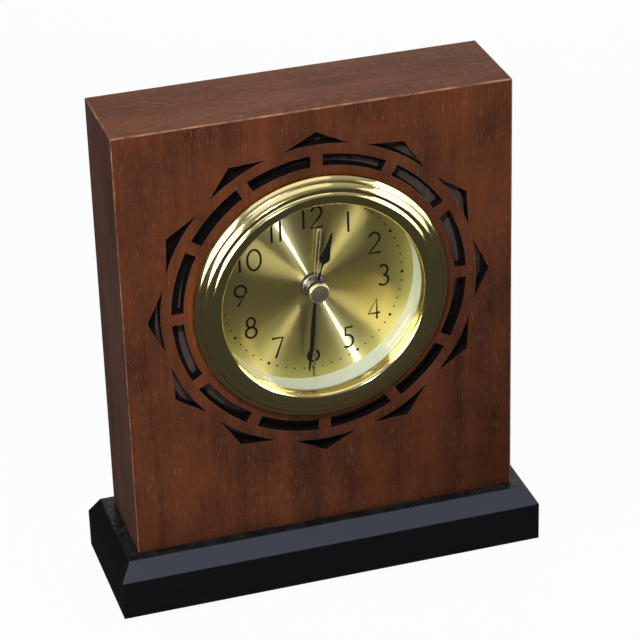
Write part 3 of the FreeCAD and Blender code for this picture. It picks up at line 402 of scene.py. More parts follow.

# %% [markdown]
# ## Black lacquer
# The plinth is satin black. Its front slope has a greyish painted sheen, a reflection painted into its
# colour, and dust lies on its ledge. Three materials on three sets of faces would meet in hard lines, so one
# finish asks each point which way its face looks.

# %% Black lacquer
# The third colour is a painted sheen: a reflection painted on the plinth's front slope.
JET, DUST, PAINTED_SHEEN, SMEAR, CRUMB = ((0.006, 0.006, 0.0075), (0.03, 0.03, 0.032), (0.052, 0.057, 0.073),
                                  (0.030, 0.033, 0.034), (0.16, 0.11, 0.075))


def lacquer():
    """Satin black with specks of dust, a painted sheen on the front slope, and smears and crumbs on the
    ledge.
    """
    black = Finish("black_lacquer", JET, Roughness=0.4, Specular_IOR_Level=0.08)
    normal = black.add("ShaderNodeTexCoord", "Normal")

    def facing(way, low, high):
        along = black.add("ShaderNodeVectorMath", "Value", {"operation": "DOT_PRODUCT"}, i0=normal, i1=way)
        return black.add("ShaderNodeMapRange", Value=along, From_Min=low, From_Max=high)

    wave = black.noise(black.place((0.25, 1, 1)), 330, 4, 0.6)
    dust = black.ramp(black.noise(black.place(), 2600, 1, 0.4), (0.70, 0.0), (0.78, 1.0))
    tone = black.blend(dust, JET, DUST)
    # painted sheen: the front slope is made lighter and bluish, as a painted reflection
    tone = black.blend(facing((0, -0.70, 0.71), 0.84, 0.94), tone, PAINTED_SHEEN)
    ledge = facing((0, 0, 1), 0.5, 0.95)
    smear = black.ramp(black.noise(black.place(), 210, 4, 0.7), (0.45, 0.0), (0.72, 1.0))
    tone = black.blend(black.math("MULTIPLY", ledge, smear), tone, SMEAR)
    crumbs = black.ramp(black.noise(black.place(), 1500, 1, 0.4), (0.69, 0.0), (0.73, 1.0))
    black.color(black.blend(black.math("MULTIPLY", ledge, crumbs), tone, CRUMB))
    black.rough(black.ramp(wave, (0.3, 0.34), (0.7, 0.48)))
    return black.bump(wave, 0.10, 0.00015).material


LACQUER = lacquer()
print("lacquer", LACQUER.name)

# %% [markdown]
# ## Brass, steel and plastics
# Polished brass is a metal with a low roughness and a warm colour. Moulded plastics have a fine texture from
# their mould. The finishes of a kind differ only in colour, gloss and grain, so one short function makes all
# the metals and another all the plastics.

# %% Metals and plastics
def metal(name, color, low, high, scale=500.0, strength=0.03):
    """A bright metal whose roughness varies a little, as handling leaves it."""
    sheet = Finish(name, color, Metallic=1.0, Roughness=low)
    marks = sheet.noise(sheet.place(), scale, 4, 0.6)
    sheet.rough(sheet.ramp(marks, (0.35, low), (0.75, high)))
    return sheet.bump(marks, strength, 0.00005).material


def moulded(name, color, rough, grain=1400.0, strength=0.18, **sockets):
    """Moulded plastic or rubber with a fine spark-eroded texture."""
    body = Finish(name, color, Roughness=rough, **sockets)
    speck = body.noise(body.place(), grain, 3, 0.6)
    body.color(body.ramp(speck, (0.3, tuple(0.88 * part for part in color)), (0.7, color)))
    return body.bump(speck, strength, 0.00006).material


BRASS = metal("polished_brass", (0.84, 0.71, 0.30), 0.08, 0.13)
DULL_BRASS = metal("dull_hand_brass", (0.34, 0.28, 0.18), 0.3, 0.38, 200, 0.005)
HAND_BRASS = metal("hand_brass", (0.78, 0.68, 0.42), 0.30, 0.38, 200, 0.005)
CAP_FACE = metal("cap_brass", (0.40, 0.34, 0.18), 0.3, 0.36, 900, 0.01)
NICKEL = metal("nickel", (0.40, 0.40, 0.38), 0.2, 0.3, 900)
STEEL = metal("screw_steel", (0.55, 0.55, 0.57), 0.25, 0.35, 900)
IRON = metal("soft_iron", (0.38, 0.38, 0.40), 0.35, 0.5, 700)
MAGNET = metal("magnet", (0.12, 0.12, 0.13), 0.4, 0.55, 700)
WHITE = moulded("white_plastic", (0.72, 0.82, 0.80), 0.30, 900, 0.04)
BLACK = moulded("black_plastic", (0.024, 0.024, 0.025), 0.42)
RUBBER = moulded("black_rubber", (0.02, 0.02, 0.021), 0.75, 900, 0.3)
HAND_BLACK = moulded("hand_black", (0.008, 0.006, 0.005), 0.5, 2500, 0.05, Specular_IOR_Level=0.06)
INK = moulded("printing_ink", (0.010, 0.007, 0.004), 0.5, 2500, 0.03, Specular_IOR_Level=0.02)
PLATE = moulded("movement_plastic", (0.55, 0.54, 0.50), 0.5)
GEAR = moulded("gear_plastic", (0.72, 0.71, 0.64), 0.38)
BOARD = moulded("printed_board", (0.03, 0.13, 0.05), 0.4, 800, 0.1)
JACKET = moulded("battery_jacket", (0.03, 0.035, 0.06), 0.28, 700, 0.05)
print("finishes so far", len(bpy.data.materials))

# %% [markdown]
# ## Felt, wire and the lens
# Felt is matt, with short hairs in every direction. The coil is wound from copper wire, whose turns show as
# fine even waves. The lens is so clear that only its glints are seen, so it is nearly transparent and keeps a
# sharp reflection. A true glass would bend the light and slow the render for no gain in so thin a sheet.

# %% Felt, wire and lens
def felt():
    cloth = Finish("felt", (0.012, 0.012, 0.013), Roughness=0.95, Sheen_Weight=0.3)
    hair = cloth.noise(cloth.place(), 2200, 6, 0.7, 1.5)
    cloth.color(cloth.ramp(hair, (0.3, (0.006, 0.006, 0.007)), (0.75, (0.028, 0.028, 0.03))))
    return cloth.bump(hair, 0.7, 0.0003).material


def wire():
    copper = Finish("copper_wire", (0.45, 0.16, 0.05), Roughness=0.3, Metallic=0.6)
    turns = copper.add("ShaderNodeTexWave", "Fac", Vector=copper.place(), Scale=900.0, Distortion=0.3)
    return copper.bump(turns, 0.6, 0.00008).material


FELT = felt()
WIRE = wire()
LENS = Finish("clear_lens", (1, 1, 1), Metallic=1.0, Roughness=0.03, Alpha=0.05).material
print("felt, wire and lens", FELT.name, WIRE.name, LENS.name)

# %% [markdown]
# ## The dial's brushed brass
# The dial was brushed as it turned, so its scratches are circles. Such a surface throws light across the
# scratches, and every lamp shows as a bright streak through the middle. A radial tangent with a high
# anisotropy gives that, and fine circular noise breaks the streak up as real scratches do. Two lobes are
# mixed, since the coarse scratches spread a soft glow and the fine ones draw a narrow bright core.

# %% Brushed dial
def brushed_dial():
    """Brass under circular scratches: a soft lobe for the coarse ones and a narrow one for the fine ones."""
    sheet = Finish("dial_brass", (0.60, 0.53, 0.20), Metallic=0.87, Roughness=0.28, Anisotropic=1.0,
                   Anisotropic_Rotation=0.25)
    tangent = sheet.add("ShaderNodeTangent", settings={"direction_type": "RADIAL", "axis": "Y"})
    sheet.feed(sheet.shader.inputs["Tangent"], tangent)
    rings = sheet.add("ShaderNodeTexNoise", "Fac", settings={"noise_dimensions": "1D"},
                      W=sheet.round_hub()[2], Scale=3800.0, Detail=3.0, Roughness=0.7)
    tone = sheet.ramp(rings, (0.3, (0.67, 0.56, 0.185)), (0.7, (0.80, 0.685, 0.24)))
    sheet.color(tone).bump(rings, 0.08, 0.00002)
    fine = sheet.add("ShaderNodeBsdfAnisotropic", settings={"distribution": "BECKMANN"}, Color=tone,
                     Roughness=0.212, Anisotropy=0.85, Tangent=tangent)
    return sheet.surface(sheet.add("ShaderNodeMixShader", i0=0.5, i1=sheet.shader.outputs[0], i2=fine))


DIAL = brushed_dial()
print("dial finish", DIAL.name)

# %% [markdown]
# ## Give every solid its finish
# Solids whose shape is right stay, and take a better material. The table pairs each material slot of the
# record with a finish, so a solid that is added later is dressed without a new line.

# %% Dress the solids
SLOT_FINISH = {
    "veneer": VENEER_SIDE, "fibreboard": BACKING, "dark_board": BACKING, "black_wood": LACQUER, "felt": FELT,
    "screw_steel": STEEL, "polished_brass": BRASS, "clear_lens": LENS, "white_plastic": WHITE,
    "dial_brass": DIAL, "black_plastic": BLACK, "black_rubber": RUBBER, "movement_plastic": PLATE,
    "gear_plastic": GEAR, "soft_iron": IRON, "copper_wire": WIRE, "board": BOARD, "sheet_brass": HAND_BRASS,
    "contact_steel": STEEL, "battery_jacket": JACKET, "hand_black": HAND_BLACK, "hand_brass": HAND_BRASS,
    "magnet": MAGNET,
}
SLOT_OF = {subpart["node"]: subpart["material_slot"] for subpart in frame["record"]["subparts"]}
for node, slot in SLOT_OF.items():
    NODES[node].data.materials.clear()
    NODES[node].data.materials.append(SLOT_FINISH[slot])
print("dressed", len(SLOT_OF), "solids")

# %% [markdown]
# ## The veneered case
# The case is six mitred boards, folded up so that the veneer runs round the corners. A union of the boards
# closes the mitres, and then one bevel rounds every outer edge and, more finely, the rim of each cut. A bevel
# weight on each edge says which of the two it is, so one modifier does both.

# %% Case helpers
CASE_PANELS = ("front_panel", "left_panel", "right_panel", "top_panel", "bottom_panel", "back_panel")
EDGE_ROUND, CUT_ROUND = 0.45 * MM, 0.07 * MM
EDGE_REACH, FACE_REACH = 0.2 * MM, 0.01 * MM
SHARP_CORNER = radians(40)


def combine(operation, piece, *others):
    """Boolean one piece with others, which are used up."""
    for other in others:
        modifier = piece.modifiers.new("combine", "BOOLEAN")
        modifier.operation = operation
        modifier.solver = "EXACT"
        modifier.object = other
        apply_modifiers(piece)
        bpy.data.objects.remove(other)
    return piece


def at_outline(spot):
    """Is the point on the left or right side, the top or the bottom of the case?"""
    return (min(spot.x - CASE_LOW.x, CASE_HIGH.x - spot.x) < EDGE_REACH
            or min(spot.z - CASE_LOW.z, CASE_HIGH.z - spot.z) < EDGE_REACH)


def at_face(spot):
    return min(abs(spot.y - FRONT_Y), abs(spot.y - BACK_Y)) < FACE_REACH


def weigh_edges(shell):
    """Give each sharp edge its bevel weight: full along the outline, a little round the cuts."""
    weights = shell.data.attributes.new("bevel_weight_edge", "FLOAT", "EDGE")
    faces_of = {}
    for face in shell.data.polygons:
        for key in face.edge_keys:
            faces_of.setdefault(key, []).append(face)
    for edge in shell.data.edges:
        pair = faces_of.get(tuple(sorted(edge.vertices)), [])
        if len(pair) != 2 or pair[0].normal.angle(pair[1].normal) < SHARP_CORNER:
            continue
        spots = [shell.data.vertices[index].co for index in edge.vertices]
        if all(map(at_outline, spots)):
            weights.data[edge.index].value = 1.0
        elif all(map(at_face, spots)):
            weights.data[edge.index].value = CUT_ROUND / EDGE_ROUND


# %% [markdown]
# Then the faces are sorted by where they point. Front and back, top, and sides take their own grain, the
# narrow bevel faces take the worn finish, and the walls of the cuts are charred.

# %% Case shell
CASE_FINISHES = (VENEER_FRONT, VENEER_TOP, VENEER_SIDE, CHARRED, WORN)
FACING, SLANTED, SIDEWAYS = 0.9, 0.97, 0.8


def case_finish(face):
    """The finish for one face of the bevelled shell."""
    spot, normal = face.center, face.normal
    margin = 2 * EDGE_ROUND
    inside = (CASE_LOW.x + margin < spot.x < CASE_HIGH.x - margin
              and CASE_LOW.z + margin < spot.z < CASE_HIGH.z - margin)
    if inside and abs(normal.y) < SIDEWAYS:
        return CHARRED
    if max(abs(part) for part in normal) < SLANTED:
        return WORN
    if abs(normal.y) > FACING:
        return VENEER_FRONT
    return VENEER_TOP if normal.z > FACING else VENEER_SIDE


def case_shell():
    shell = combine("UNION", *(merged_copy(node, f"{node}_weld") for node in CASE_PANELS))
    shell.name = "case_shell"
    weld(shell, flatten=True)
    weigh_edges(shell)
    bevel = shell.modifiers.new("edges", "BEVEL")
    bevel.width = EDGE_ROUND
    bevel.segments = 3
    bevel.limit_method = "WEIGHT"
    bevel.use_clamp_overlap = False
    apply_modifiers(shell)
    shell.data.materials.clear()
    for finish in CASE_FINISHES:
        shell.data.materials.append(finish)
    for face in shell.data.polygons:
        face.material_index = CASE_FINISHES.index(case_finish(face))
    return dress(smooth(shell), "root", None, "veneer", *CASE_PANELS)


case_shell()

# %% [markdown]
# ## The plinth
# The plinth is one block with a steep bevel all round its top. Its solid is right, so a welded copy only
# needs its edges rounded for the light to catch. Modelling it again would only risk its size.

# %% Plinth
PLINTH_ROUND, PLINTH_BEND = 0.5 * MM, 25
plinth = soften(merged_copy("base_plinth", "plinth_block"), PLINTH_ROUND, angle=PLINTH_BEND)
dress(plinth, "root", LACQUER, "black_wood", "base_plinth")

# %% [markdown]
# ## A lathe
# Turned pieces, such as the brass rim, start as one vertex. Extruding it from point to point draws half a
# section, and spinning that about the hub's axis makes the ring. A screw modifier would do the same, but the
# spin leaves a plain mesh at once. The section is given as pairs of radius and rise, where rise is towards
# the viewer.

# %% Lathe helper
SAME_POINT = 1e-9
SEAM = 1e-6


def turned(name, section, base_y, steps):
    """Spin a section of (radius, rise) pairs about the dial's axis. An open ring section is closed first."""
    points = [Vector((HUB.x + radius, base_y - rise, HUB.z)) for radius, rise in section]
    bpy.ops.mesh.primitive_plane_add(size=MM, location=(0, 0, 0))
    piece = bpy.context.object
    piece.name = name
    bpy.ops.object.mode_set(mode="EDIT")
    bpy.ops.mesh.select_all(action="SELECT")
    bpy.ops.mesh.merge(type="CENTER")
    bpy.ops.transform.translate(value=points[0])
    for before, after in zip(points, points[1:]):
        bpy.ops.mesh.extrude_region_move(TRANSFORM_OT_translate={"value": after - before})
    if (points[0] - points[-1]).length > SAME_POINT:
        bpy.ops.mesh.select_all(action="DESELECT")
        bpy.ops.object.mode_set(mode="OBJECT")
        for vertex in piece.data.vertices:
            vertex.select = min((vertex.co - end).length for end in (points[0], points[-1])) < 10 * SAME_POINT
        bpy.ops.object.mode_set(mode="EDIT")
        bpy.ops.mesh.edge_face_add()
    bpy.ops.mesh.select_all(action="SELECT")
    bpy.ops.mesh.spin(steps=steps, angle=tau, center=(HUB.x, base_y, HUB.z), axis=(0, 1, 0))
    weld(piece, SEAM)
    bpy.ops.object.shade_smooth_by_angle(angle=SMOOTH_ANGLE)
    return settle(piece)


def arc_through(start, crest, end, count=10):
    """Points of the arc through three points, without its last one."""
    (ax, ay), (bx, by), (cx, cy) = start, crest, end
    lean = 2 * (ax * (by - cy) + bx * (cy - ay) + cx * (ay - by))
    squares = [x * x + y * y for x, y in (start, crest, end)]
    ox = (squares[0] * (by - cy) + squares[1] * (cy - ay) + squares[2] * (ay - by)) / lean
    oy = (squares[0] * (cx - bx) + squares[1] * (ax - cx) + squares[2] * (bx - ax)) / lean
    radius = hypot(ax - ox, ay - oy)
    angles = [atan2(y - oy, x - ox) for x, y in (start, crest, end)]
    first, turn = angles[0], (angles[2] - angles[0]) % tau
    if (angles[1] - first) % tau > turn:
        turn -= tau
    return [(ox + radius * cos(first + turn * step / count), oy + radius * sin(first + turn * step / count))
            for step in range(count)]


# %% [markdown]
# ## The brass rim
# The rim is spun from sheet brass. Three quarter rounds climb inwards like steps, and a rounded brow then
# falls to the lens. The lathe helper turns it as the real one was, from a section of arcs, so every band
# catches the light all the way round. Radii and rises are in millimetres.

# %% Bezel
BEZEL_STEPS = 180
BEZEL_SECTION = {
    "foot_one": (42.8, 0.3), "top_one": (41.0, 3.05), "foot_two": (40.75, 3.05), "top_two": (38.05, 4.45),
    "foot_three": (37.9, 4.45), "top_three": (36.3, 5.05), "brow": (34.9, 4.75), "brow_round": (33.91, 4.34),
    "throat": (33.5, 3.35), "lip": 2.0, "seat": 1.2, "recess": 38.05,
}


def quarter(low, high):
    """A quarter round that stands up from its foot and lies flat where it ends."""
    crest = (high[0] + (low[0] - high[0]) * sin(pi / 4), low[1] + (high[1] - low[1]) * sin(pi / 4))
    return arc_through(low, crest, high)


def bezel():
    part = BEZEL_SECTION
    lip, recess = part["throat"][0], part["recess"]
    section = [(part["foot_one"][0], 0)]
    for step in ("one", "two", "three"):
        section += quarter(part[f"foot_{step}"], part[f"top_{step}"])
    section += arc_through(part["brow"], part["brow_round"], part["throat"])
    section += [(lip, part["lip"]), (lip, part["seat"]), (recess, part["seat"]), (recess, 0)]
    ring = turned("bezel_ring", [(radius * MM, rise * MM) for radius, rise in section], FRONT_Y, BEZEL_STEPS)
    return dress(ring, "insert", BRASS, "polished_brass", "bezel")


bezel()

# %% [markdown]
# ## Figures on the dial
# The figures are thin, even strokes, as a draughtsman's pen leaves them. Each is drawn as a few open lines
# and arcs in a box one unit high. A text object would bring a typeface that doesn't match.

# %% Figure shapes
def sweep(centre, size, first, last, count=14):
    """Points along an ellipse, with angles in degrees anticlockwise from the right."""
    return [(centre[0] + size[0] * cos(radians(first + (last - first) * step / count)),
             centre[1] + size[1] * sin(radians(first + (last - first) * step / count)))
            for step in range(count + 1)]


FIGURES = {
    "0": (0.62, [sweep((0, 0), (0.31, 0.5), 0, 360, 28)]),
    "1": (0.10, [[(0, 0.5), (0, -0.5)]]),
    "2": (0.50, [sweep((0, 0.22), (0.24, 0.28), 165, -28) + [(-0.27, -0.5), (0.28, -0.5)]]),
    "3": (0.46, [sweep((-0.02, 0.25), (0.2, 0.25), 140, -90), sweep((-0.03, -0.25), (0.24, 0.25), 90, -145)]),
    "4": (0.54, [[(0.12, -0.5), (0.12, 0.5), (-0.28, -0.2), (0.27, -0.2)]]),
    "5": (0.46, [[(0.2, 0.5), (-0.13, 0.5), (-0.17, 0.1)] + sweep((-0.06, -0.19), (0.27, 0.31), 112, -125)]),
    "6": (0.54, [[(0.14, 0.5), (-0.1, 0.16)] + sweep((0, -0.22), (0.26, 0.28), 145, 505, 28)]),
    "7": (0.50, [[(-0.26, 0.5), (0.26, 0.5), (-0.1, -0.5)]]),
    "8": (0.50, [sweep((0, 0.26), (0.19, 0.24), 0, 360, 24), sweep((0, -0.24), (0.25, 0.26), 0, 360, 24)]),
    "9": (0.54, [sweep((0, 0.22), (0.26, 0.28), -35, 325, 28) + [(-0.14, -0.5)]]),
}
print("figures", len(FIGURES))

# %% [markdown]
# ## A pen
# One stroke is an open curve with a bevel depth, which makes a round rod along it. Converting it gives a
# mesh, and scaling that mesh thin leaves a film of ink. Filled caps close its ends, so it has no holes.

# %% Pen strokes
STROKE, INK_FILM = 0.78 * MM, 0.02 * MM


def meshed(name, curve):
    """Turn curve data into a mesh object, as Object > Convert does."""
    piece = bpy.data.objects.new(name, curve)
    bpy.context.collection.objects.link(piece)
    pick(piece)
    bpy.ops.object.convert(target="MESH")
    return bpy.context.object


def stroke_object(name, line, width, film=INK_FILM):
    """One pen stroke through points in the dial's plane, as a flat ribbon."""
    curve = bpy.data.curves.new(name, "CURVE")
    curve.dimensions = "3D"
    curve.bevel_depth = width / 2
    curve.bevel_resolution = 2
    curve.use_fill_caps = True
    spline = curve.splines.new("POLY")
    spline.points.add(len(line) - 1)
    for point, (x, z) in zip(spline.points, line):
        point.co = (x, 0, z, 1)
    piece = meshed(name, curve)
    piece.scale = (1, film / width, 1)
    return settle(piece)


print("stroke", STROKE, "ink", INK_FILM)

# %% [markdown]
# ## The print on the dial
# The figures stand upright on a circle, and the minute dots on a wider one, with a larger dot at each hour.
# The print sits a little off the dial's middle and a little turned, as a pad print often does. All of it is
# joined into one piece, because it is one film of ink.

# %% Dial print
FIGURE_HEIGHT, FIGURE_RADIUS, FIGURE_DROP, FIGURE_GAP = 7.25 * MM, 24.1 * MM, 0.3 * MM, 0.30
DOT_CIRCLE, HOUR_DOT, MINUTE_DOT, DOT_SIDES = 30.3 * MM, 0.52 * MM, 0.3 * MM, 16
PRINT_TURN, PRINT_SHIFT = radians(1.2), 0.2 * MM


def figure(hour):
    """The strokes of one hour's figure, side by side, centred on its place on the dial."""
    digits = [FIGURES[digit] for digit in str(hour)]
    width = sum(wide for wide, _ in digits) + FIGURE_GAP * (len(digits) - 1)
    turn = radians(30 * hour) + PRINT_TURN
    spot = Vector((HUB.x - PRINT_SHIFT + FIGURE_RADIUS * sin(turn), 0,
                   HUB.z - FIGURE_DROP + FIGURE_RADIUS * cos(turn)))
    pieces, left = [], -width / 2
    for wide, lines in digits:
        for line in lines:
            points = [(spot.x + (left + wide / 2 + x) * FIGURE_HEIGHT, spot.z + z * FIGURE_HEIGHT)
                      for x, z in line]
            pieces.append(stroke_object(f"figure_{hour}", points, STROKE))
        left += wide + FIGURE_GAP
    return pieces


def dial_print():
    strokes = [piece for hour in range(1, 13) for piece in figure(hour)]
    for minute in range(60):
        turn = tau * minute / 60 + PRINT_TURN
        radius = HOUR_DOT if minute % 5 == 0 else MINUTE_DOT
        spot = (HUB.x - PRINT_SHIFT + DOT_CIRCLE * sin(turn), 0, HUB.z + DOT_CIRCLE * cos(turn))
        bpy.ops.mesh.primitive_cylinder_add(vertices=DOT_SIDES, radius=radius, depth=INK_FILM, location=spot,
                                            rotation=(pi / 2, 0, 0))
        strokes.append(settle(bpy.context.object))
    ink = join("dial_print", *strokes)
    ink.location.y = DIAL_Y - INK_FILM / 2
    return dress(settle(ink), "insert", INK, None)


dial_print()

# %% [markdown]
# ## Hands
# A hand is stamped from thin sheet, so its edges are a little round. Half of its outline is drawn as points
# of width and length, and a filled curve takes both halves. Extrude and bevel on the curve give the thickness
# and the soft edge, where a mesh outline would need its own bevel. Sizes are in millimetres.

# %% Hand blades
HAND_THICK, HAND_ROUND = 0.3, 0.07


def blade(name, half, near, turn, window):
    """A stamped hand that points up the dial and is then turned clockwise by some degrees."""
    curve = bpy.data.curves.new(name, "CURVE")
    curve.dimensions = "2D"
    curve.fill_mode = "BOTH"
    curve.extrude = (HAND_THICK / 2 - HAND_ROUND) * MM
    curve.bevel_depth = HAND_ROUND * MM
    curve.bevel_resolution = 2
    curve.resolution_u = 10
    outline = [(width, along) for width, along in half] + [(-width, along) for width, along in reversed(half)]
    spline = curve.splines.new("BEZIER")
    spline.bezier_points.add(len(outline) - 1)
    for index, (point, (across, along)) in enumerate(zip(spline.bezier_points, outline)):
        point.co = (across * MM, along * MM, 0)
        end = index in (0, len(half) - 1, len(half), len(outline) - 1)
        point.handle_left_type = point.handle_right_type = "VECTOR" if end else "AUTO"
    spline.use_cyclic_u = True
    if window:
        wide, low, high = window
        opening = curve.splines.new("POLY")
        opening.points.add(3)
        for point, spot in zip(opening.points, ((wide, low), (wide, high), (-wide, high), (-wide, low))):
            point.co = (spot[0] * MM, spot[1] * MM, 0, 1)
        opening.use_cyclic_u = True
    piece = meshed(name, curve)
    piece.rotation_euler = (pi / 2, 0, 0)
    settle(piece)
    piece.rotation_euler = (0, radians(turn), 0)
    piece.location = (HUB.x, FRONT_Y + (near + HAND_THICK / 2) * MM, HUB.z)
    weld(settle(piece), SEAM)
    bpy.ops.object.shade_smooth_by_angle(angle=SMOOTH_ANGLE)
    return piece


print("hands are", HAND_THICK, "mm thick")

# %% [markdown]
# ## Bosses
# Each hand sits on a boss, and the bosses stack up into the bright and dark rings that show at the middle of
# the dial. A boss is turned from a short section. Its depths come from the box of the hand's own solid, so
# the hands keep their order on the shaft.

# %% Hand bosses
BOSS_ROUND, HUB_STEPS = 0.12, 64
POINTS_AT = {"alarm_hand": 6, "hour_hand": 17.5, "minute_hand": 187, "second_hand": 185}


def boss(name, outer, inner, near, far):
    """A short turned collar between two depths behind the case's front."""
    rim = outer - BOSS_ROUND
    section = [(inner, far), (inner, near), (rim, near), (outer, near + BOSS_ROUND),
               (outer, far - BOSS_ROUND), (rim, far), (inner, far)]
    return turned(name, [(radius * MM, -depth * MM) for radius, depth in section], FRONT_Y, HUB_STEPS)


def depth(node):
    """How far a node's front and back lie behind the front of the case, in millimetres."""
    low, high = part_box(node)
    return (low.y - FRONT_Y) / MM, (high.y - FRONT_Y) / MM


def hand(name, node, half, finish, collars, window=None):
    """Join a blade to the collars of its boss. Each keeps its own finish."""
    near, far = depth(node)
    span = far - near
    leaf = blade(name, half, near, POINTS_AT[node], window)
    leaf.data.materials.append(finish)
    pieces = [leaf]
    for outer, inner, start, end, collar_finish in collars:
        pieces.append(boss(f"{name}_boss", outer, inner, near + start * span, near + end * span))
        pieces[-1].data.materials.append(collar_finish)
    return dress(join(name, *pieces), node, None, SLOT_OF[node], node)


print("hands point at", POINTS_AT)

# %% [markdown]
# ## The four hands
# The alarm hand is an open frame of brass, the hour hand a spade, the minute hand a long lance and the second
# hand a needle. Each turns on its own body, so each is a piece of its own. The outlines are half widths and
# lengths in millimetres, and a collar is given by its radii and the share of the boss that it fills.

# %% Four hands
HOUR_HALF = [(0.42, 1.5), (0.42, 8.7), (0.95, 9.15), (1.55, 9.9), (1.72, 10.8), (1.5, 12.0), (1.12, 13.4),
             (0.80, 15.2), (0.48, 17.5), (0.16, 19.6)]
MINUTE_HALF = [(0.62, 1.5), (0.76, 5.0), (0.88, 10.0), (0.82, 15.0), (0.58, 21.0), (0.16, 29.0)]
SECOND_HALF = [(0.36, 0.5), (0.34, 12.0), (0.30, 22.0), (0.2, 30.0)]
ALARM_HALF = [(0.50, 1.5), (0.56, 10.0), (0.62, 19.8), (0.32, 20.4)]
ALARM_WINDOW = (0.45, 3.0, 19.6)
hand("alarm_pointer", "alarm_hand", ALARM_HALF, HAND_BRASS, [(4.0, 1.95, 0, 1, NICKEL)], ALARM_WINDOW)
hand("hour_spade", "hour_hand", HOUR_HALF, HAND_BLACK,
     [(3.45, 1.25, 0, 0.3, BLACK), (3.35, 1.25, 0.3, 1, NICKEL)])
hand("minute_lance", "minute_hand", MINUTE_HALF, HAND_BLACK,
     [(3.45, 0.6, 0, 0.3, BLACK), (3.25, 0.6, 0.3, 1, NICKEL)])
# The second hand's black collar is painted shade: it stands for the dark gap just under the cap.
hand("second_needle", "second_hand", SECOND_HALF, DULL_BRASS, [(3.1, 0.5, 0, 1, BLACK)])

# %% [markdown]
# ## The cap on the hands
# The brass cap that hides the end of the shaft is a short plug with a rounded edge. Its face was turned and
# left dull, and its edge was polished, so the two take different finishes. One lathe section is enough, and
# its faces are then sorted by how far they lie from the middle.

# %% Hand cap
CAP_RADIUS, CAP_FLAT, CAP_ROUND = 3.45, 2.95, 0.5
CAP_CENTRE, CAP_GAP = 0.02, 0.05


def hand_cap():
    """A plug whose section starts a hair off the axis, so a weld with a wider reach closes its pinhole."""
    near, far = depth("hand_cap")
    shoulder = CAP_ROUND * (1 - cos(pi / 4))
    section = [(CAP_CENTRE, near)]
    section += arc_through((CAP_FLAT, near), (CAP_RADIUS - shoulder, near + shoulder),
                           (CAP_RADIUS, near + CAP_ROUND), 8)
    section += [(CAP_RADIUS, near + CAP_ROUND), (CAP_RADIUS, far - CAP_GAP), (CAP_CENTRE, far - CAP_GAP)]
    cap = turned("hand_cap_plug", [(radius * MM, -back * MM) for radius, back in section], FRONT_Y, HUB_STEPS)
    weld(cap, 2 * CAP_CENTRE * MM)
    cap.data.materials.clear()
    for finish in (HAND_BRASS, CAP_FACE):
        cap.data.materials.append(finish)
    for face in cap.data.polygons:
        off = face.center - HUB
        face.material_index = int(face.normal.y < -FACING and hypot(off.x, off.z) < CAP_FLAT * MM)
    bpy.ops.object.shade_smooth_by_angle(angle=SMOOTH_ANGLE)
    return dress(cap, "second_hand", None, "hand_brass", "hand_cap")


hand_cap()

# %% [markdown]
# ## The back of the insert
# The cover, the battery door, the switch and the two fluted knobs are moulded, so a welded copy of each solid
# takes a small round on every edge. The battery door and the switch slide, and the knobs turn, so each copy
# rides on the body of its own solid.

# %% Moulded pieces
def moulding(node, body, width):
    slot = SLOT_OF[node]
    piece = soften(merged_copy(node, f"{node}_moulding"), width * MM, 2)
    return dress(piece, body, SLOT_FINISH[slot], slot, node)


moulding("rear_cover", "insert", 0.2)
moulding("battery_door", "battery_door", 0.2)
moulding("alarm_switch", "alarm_switch", 0.25)
moulding("time_knob", "time_setter", 0.15)
moulding("alarm_knob", "alarm_setter", 0.15)

# %% [markdown]
# ## Screws and arrows
# The three cover screws take a cross recess, which is two bars cut out of each head. A raised arrow over each
# knob shows which way it turns, drawn with the same pen as the figures and left thicker.

# %% Screws and arrows
SCREW_CIRCLE, SCREW_HEAD, SCREW_BEARINGS = 34 * MM, 0.8 * MM, (20, 160, 270)
BAR_SIZE = (0.45 * MM, 0.8 * MM, 1.9 * MM)
ARROW_RADIUS, BARB, ARROW_WIDE, ARROW_RISE = 7.2 * MM, 1.5 * MM, 0.45 * MM, 0.3 * MM
HEAD_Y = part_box("cover_screws")[1].y


def cross_bars(bearing):
    """Two crossed bars at one screw's head."""
    turn = radians(bearing)
    spot = (HUB.x + SCREW_CIRCLE * cos(turn), HEAD_Y, HUB.z + SCREW_CIRCLE * sin(turn))
    for tilt in (turn, turn + pi / 2):
        bpy.ops.mesh.primitive_cube_add(size=1, location=spot, rotation=(0, tilt, 0))
        bpy.context.object.scale = BAR_SIZE
        yield settle(bpy.context.object)


def turn_arrow(knob):
    """An arc over a knob with a barbed end."""
    centre = middle(knob)
    arc = sweep((centre.x, centre.z), (ARROW_RADIUS, ARROW_RADIUS), 55, 125)
    tip = arc[-1]
    start, end = [sweep(tip, (BARB, BARB), turn, turn, 1)[0] for turn in (70, -5)]
    lines = (arc, [start, tip, end])
    return [stroke_object(f"{knob}_arrow", line, ARROW_WIDE, ARROW_RISE) for line in lines]


screws = soften(merged_copy("cover_screws", "cover_screw_set"), 0.25 * MM, 2)
combine("DIFFERENCE", screws, *(bar for bearing in SCREW_BEARINGS for bar in cross_bars(bearing)))
dress(screws, "insert", STEEL, "screw_steel", "cover_screws")
arrows = join("turn_arrows", *turn_arrow("time_knob"), *turn_arrow("alarm_knob"))
arrows.location.y = HEAD_Y - SCREW_HEAD
dress(settle(arrows), "insert", BLACK, None)

# %% [markdown]
# ## Floor
# The clock stands on a sheet of white paper. The paper takes a shadow like any matt surface, but the camera,
# and a mirror that looks straight at it, see it as nearly plain white. So the sheet's edge never shows.

# %% Floor
FLOOR_SIZE, PAPER_WHITE, PAPER_GLOW = 6.0, (0.8, 0.8, 0.8), 0.95


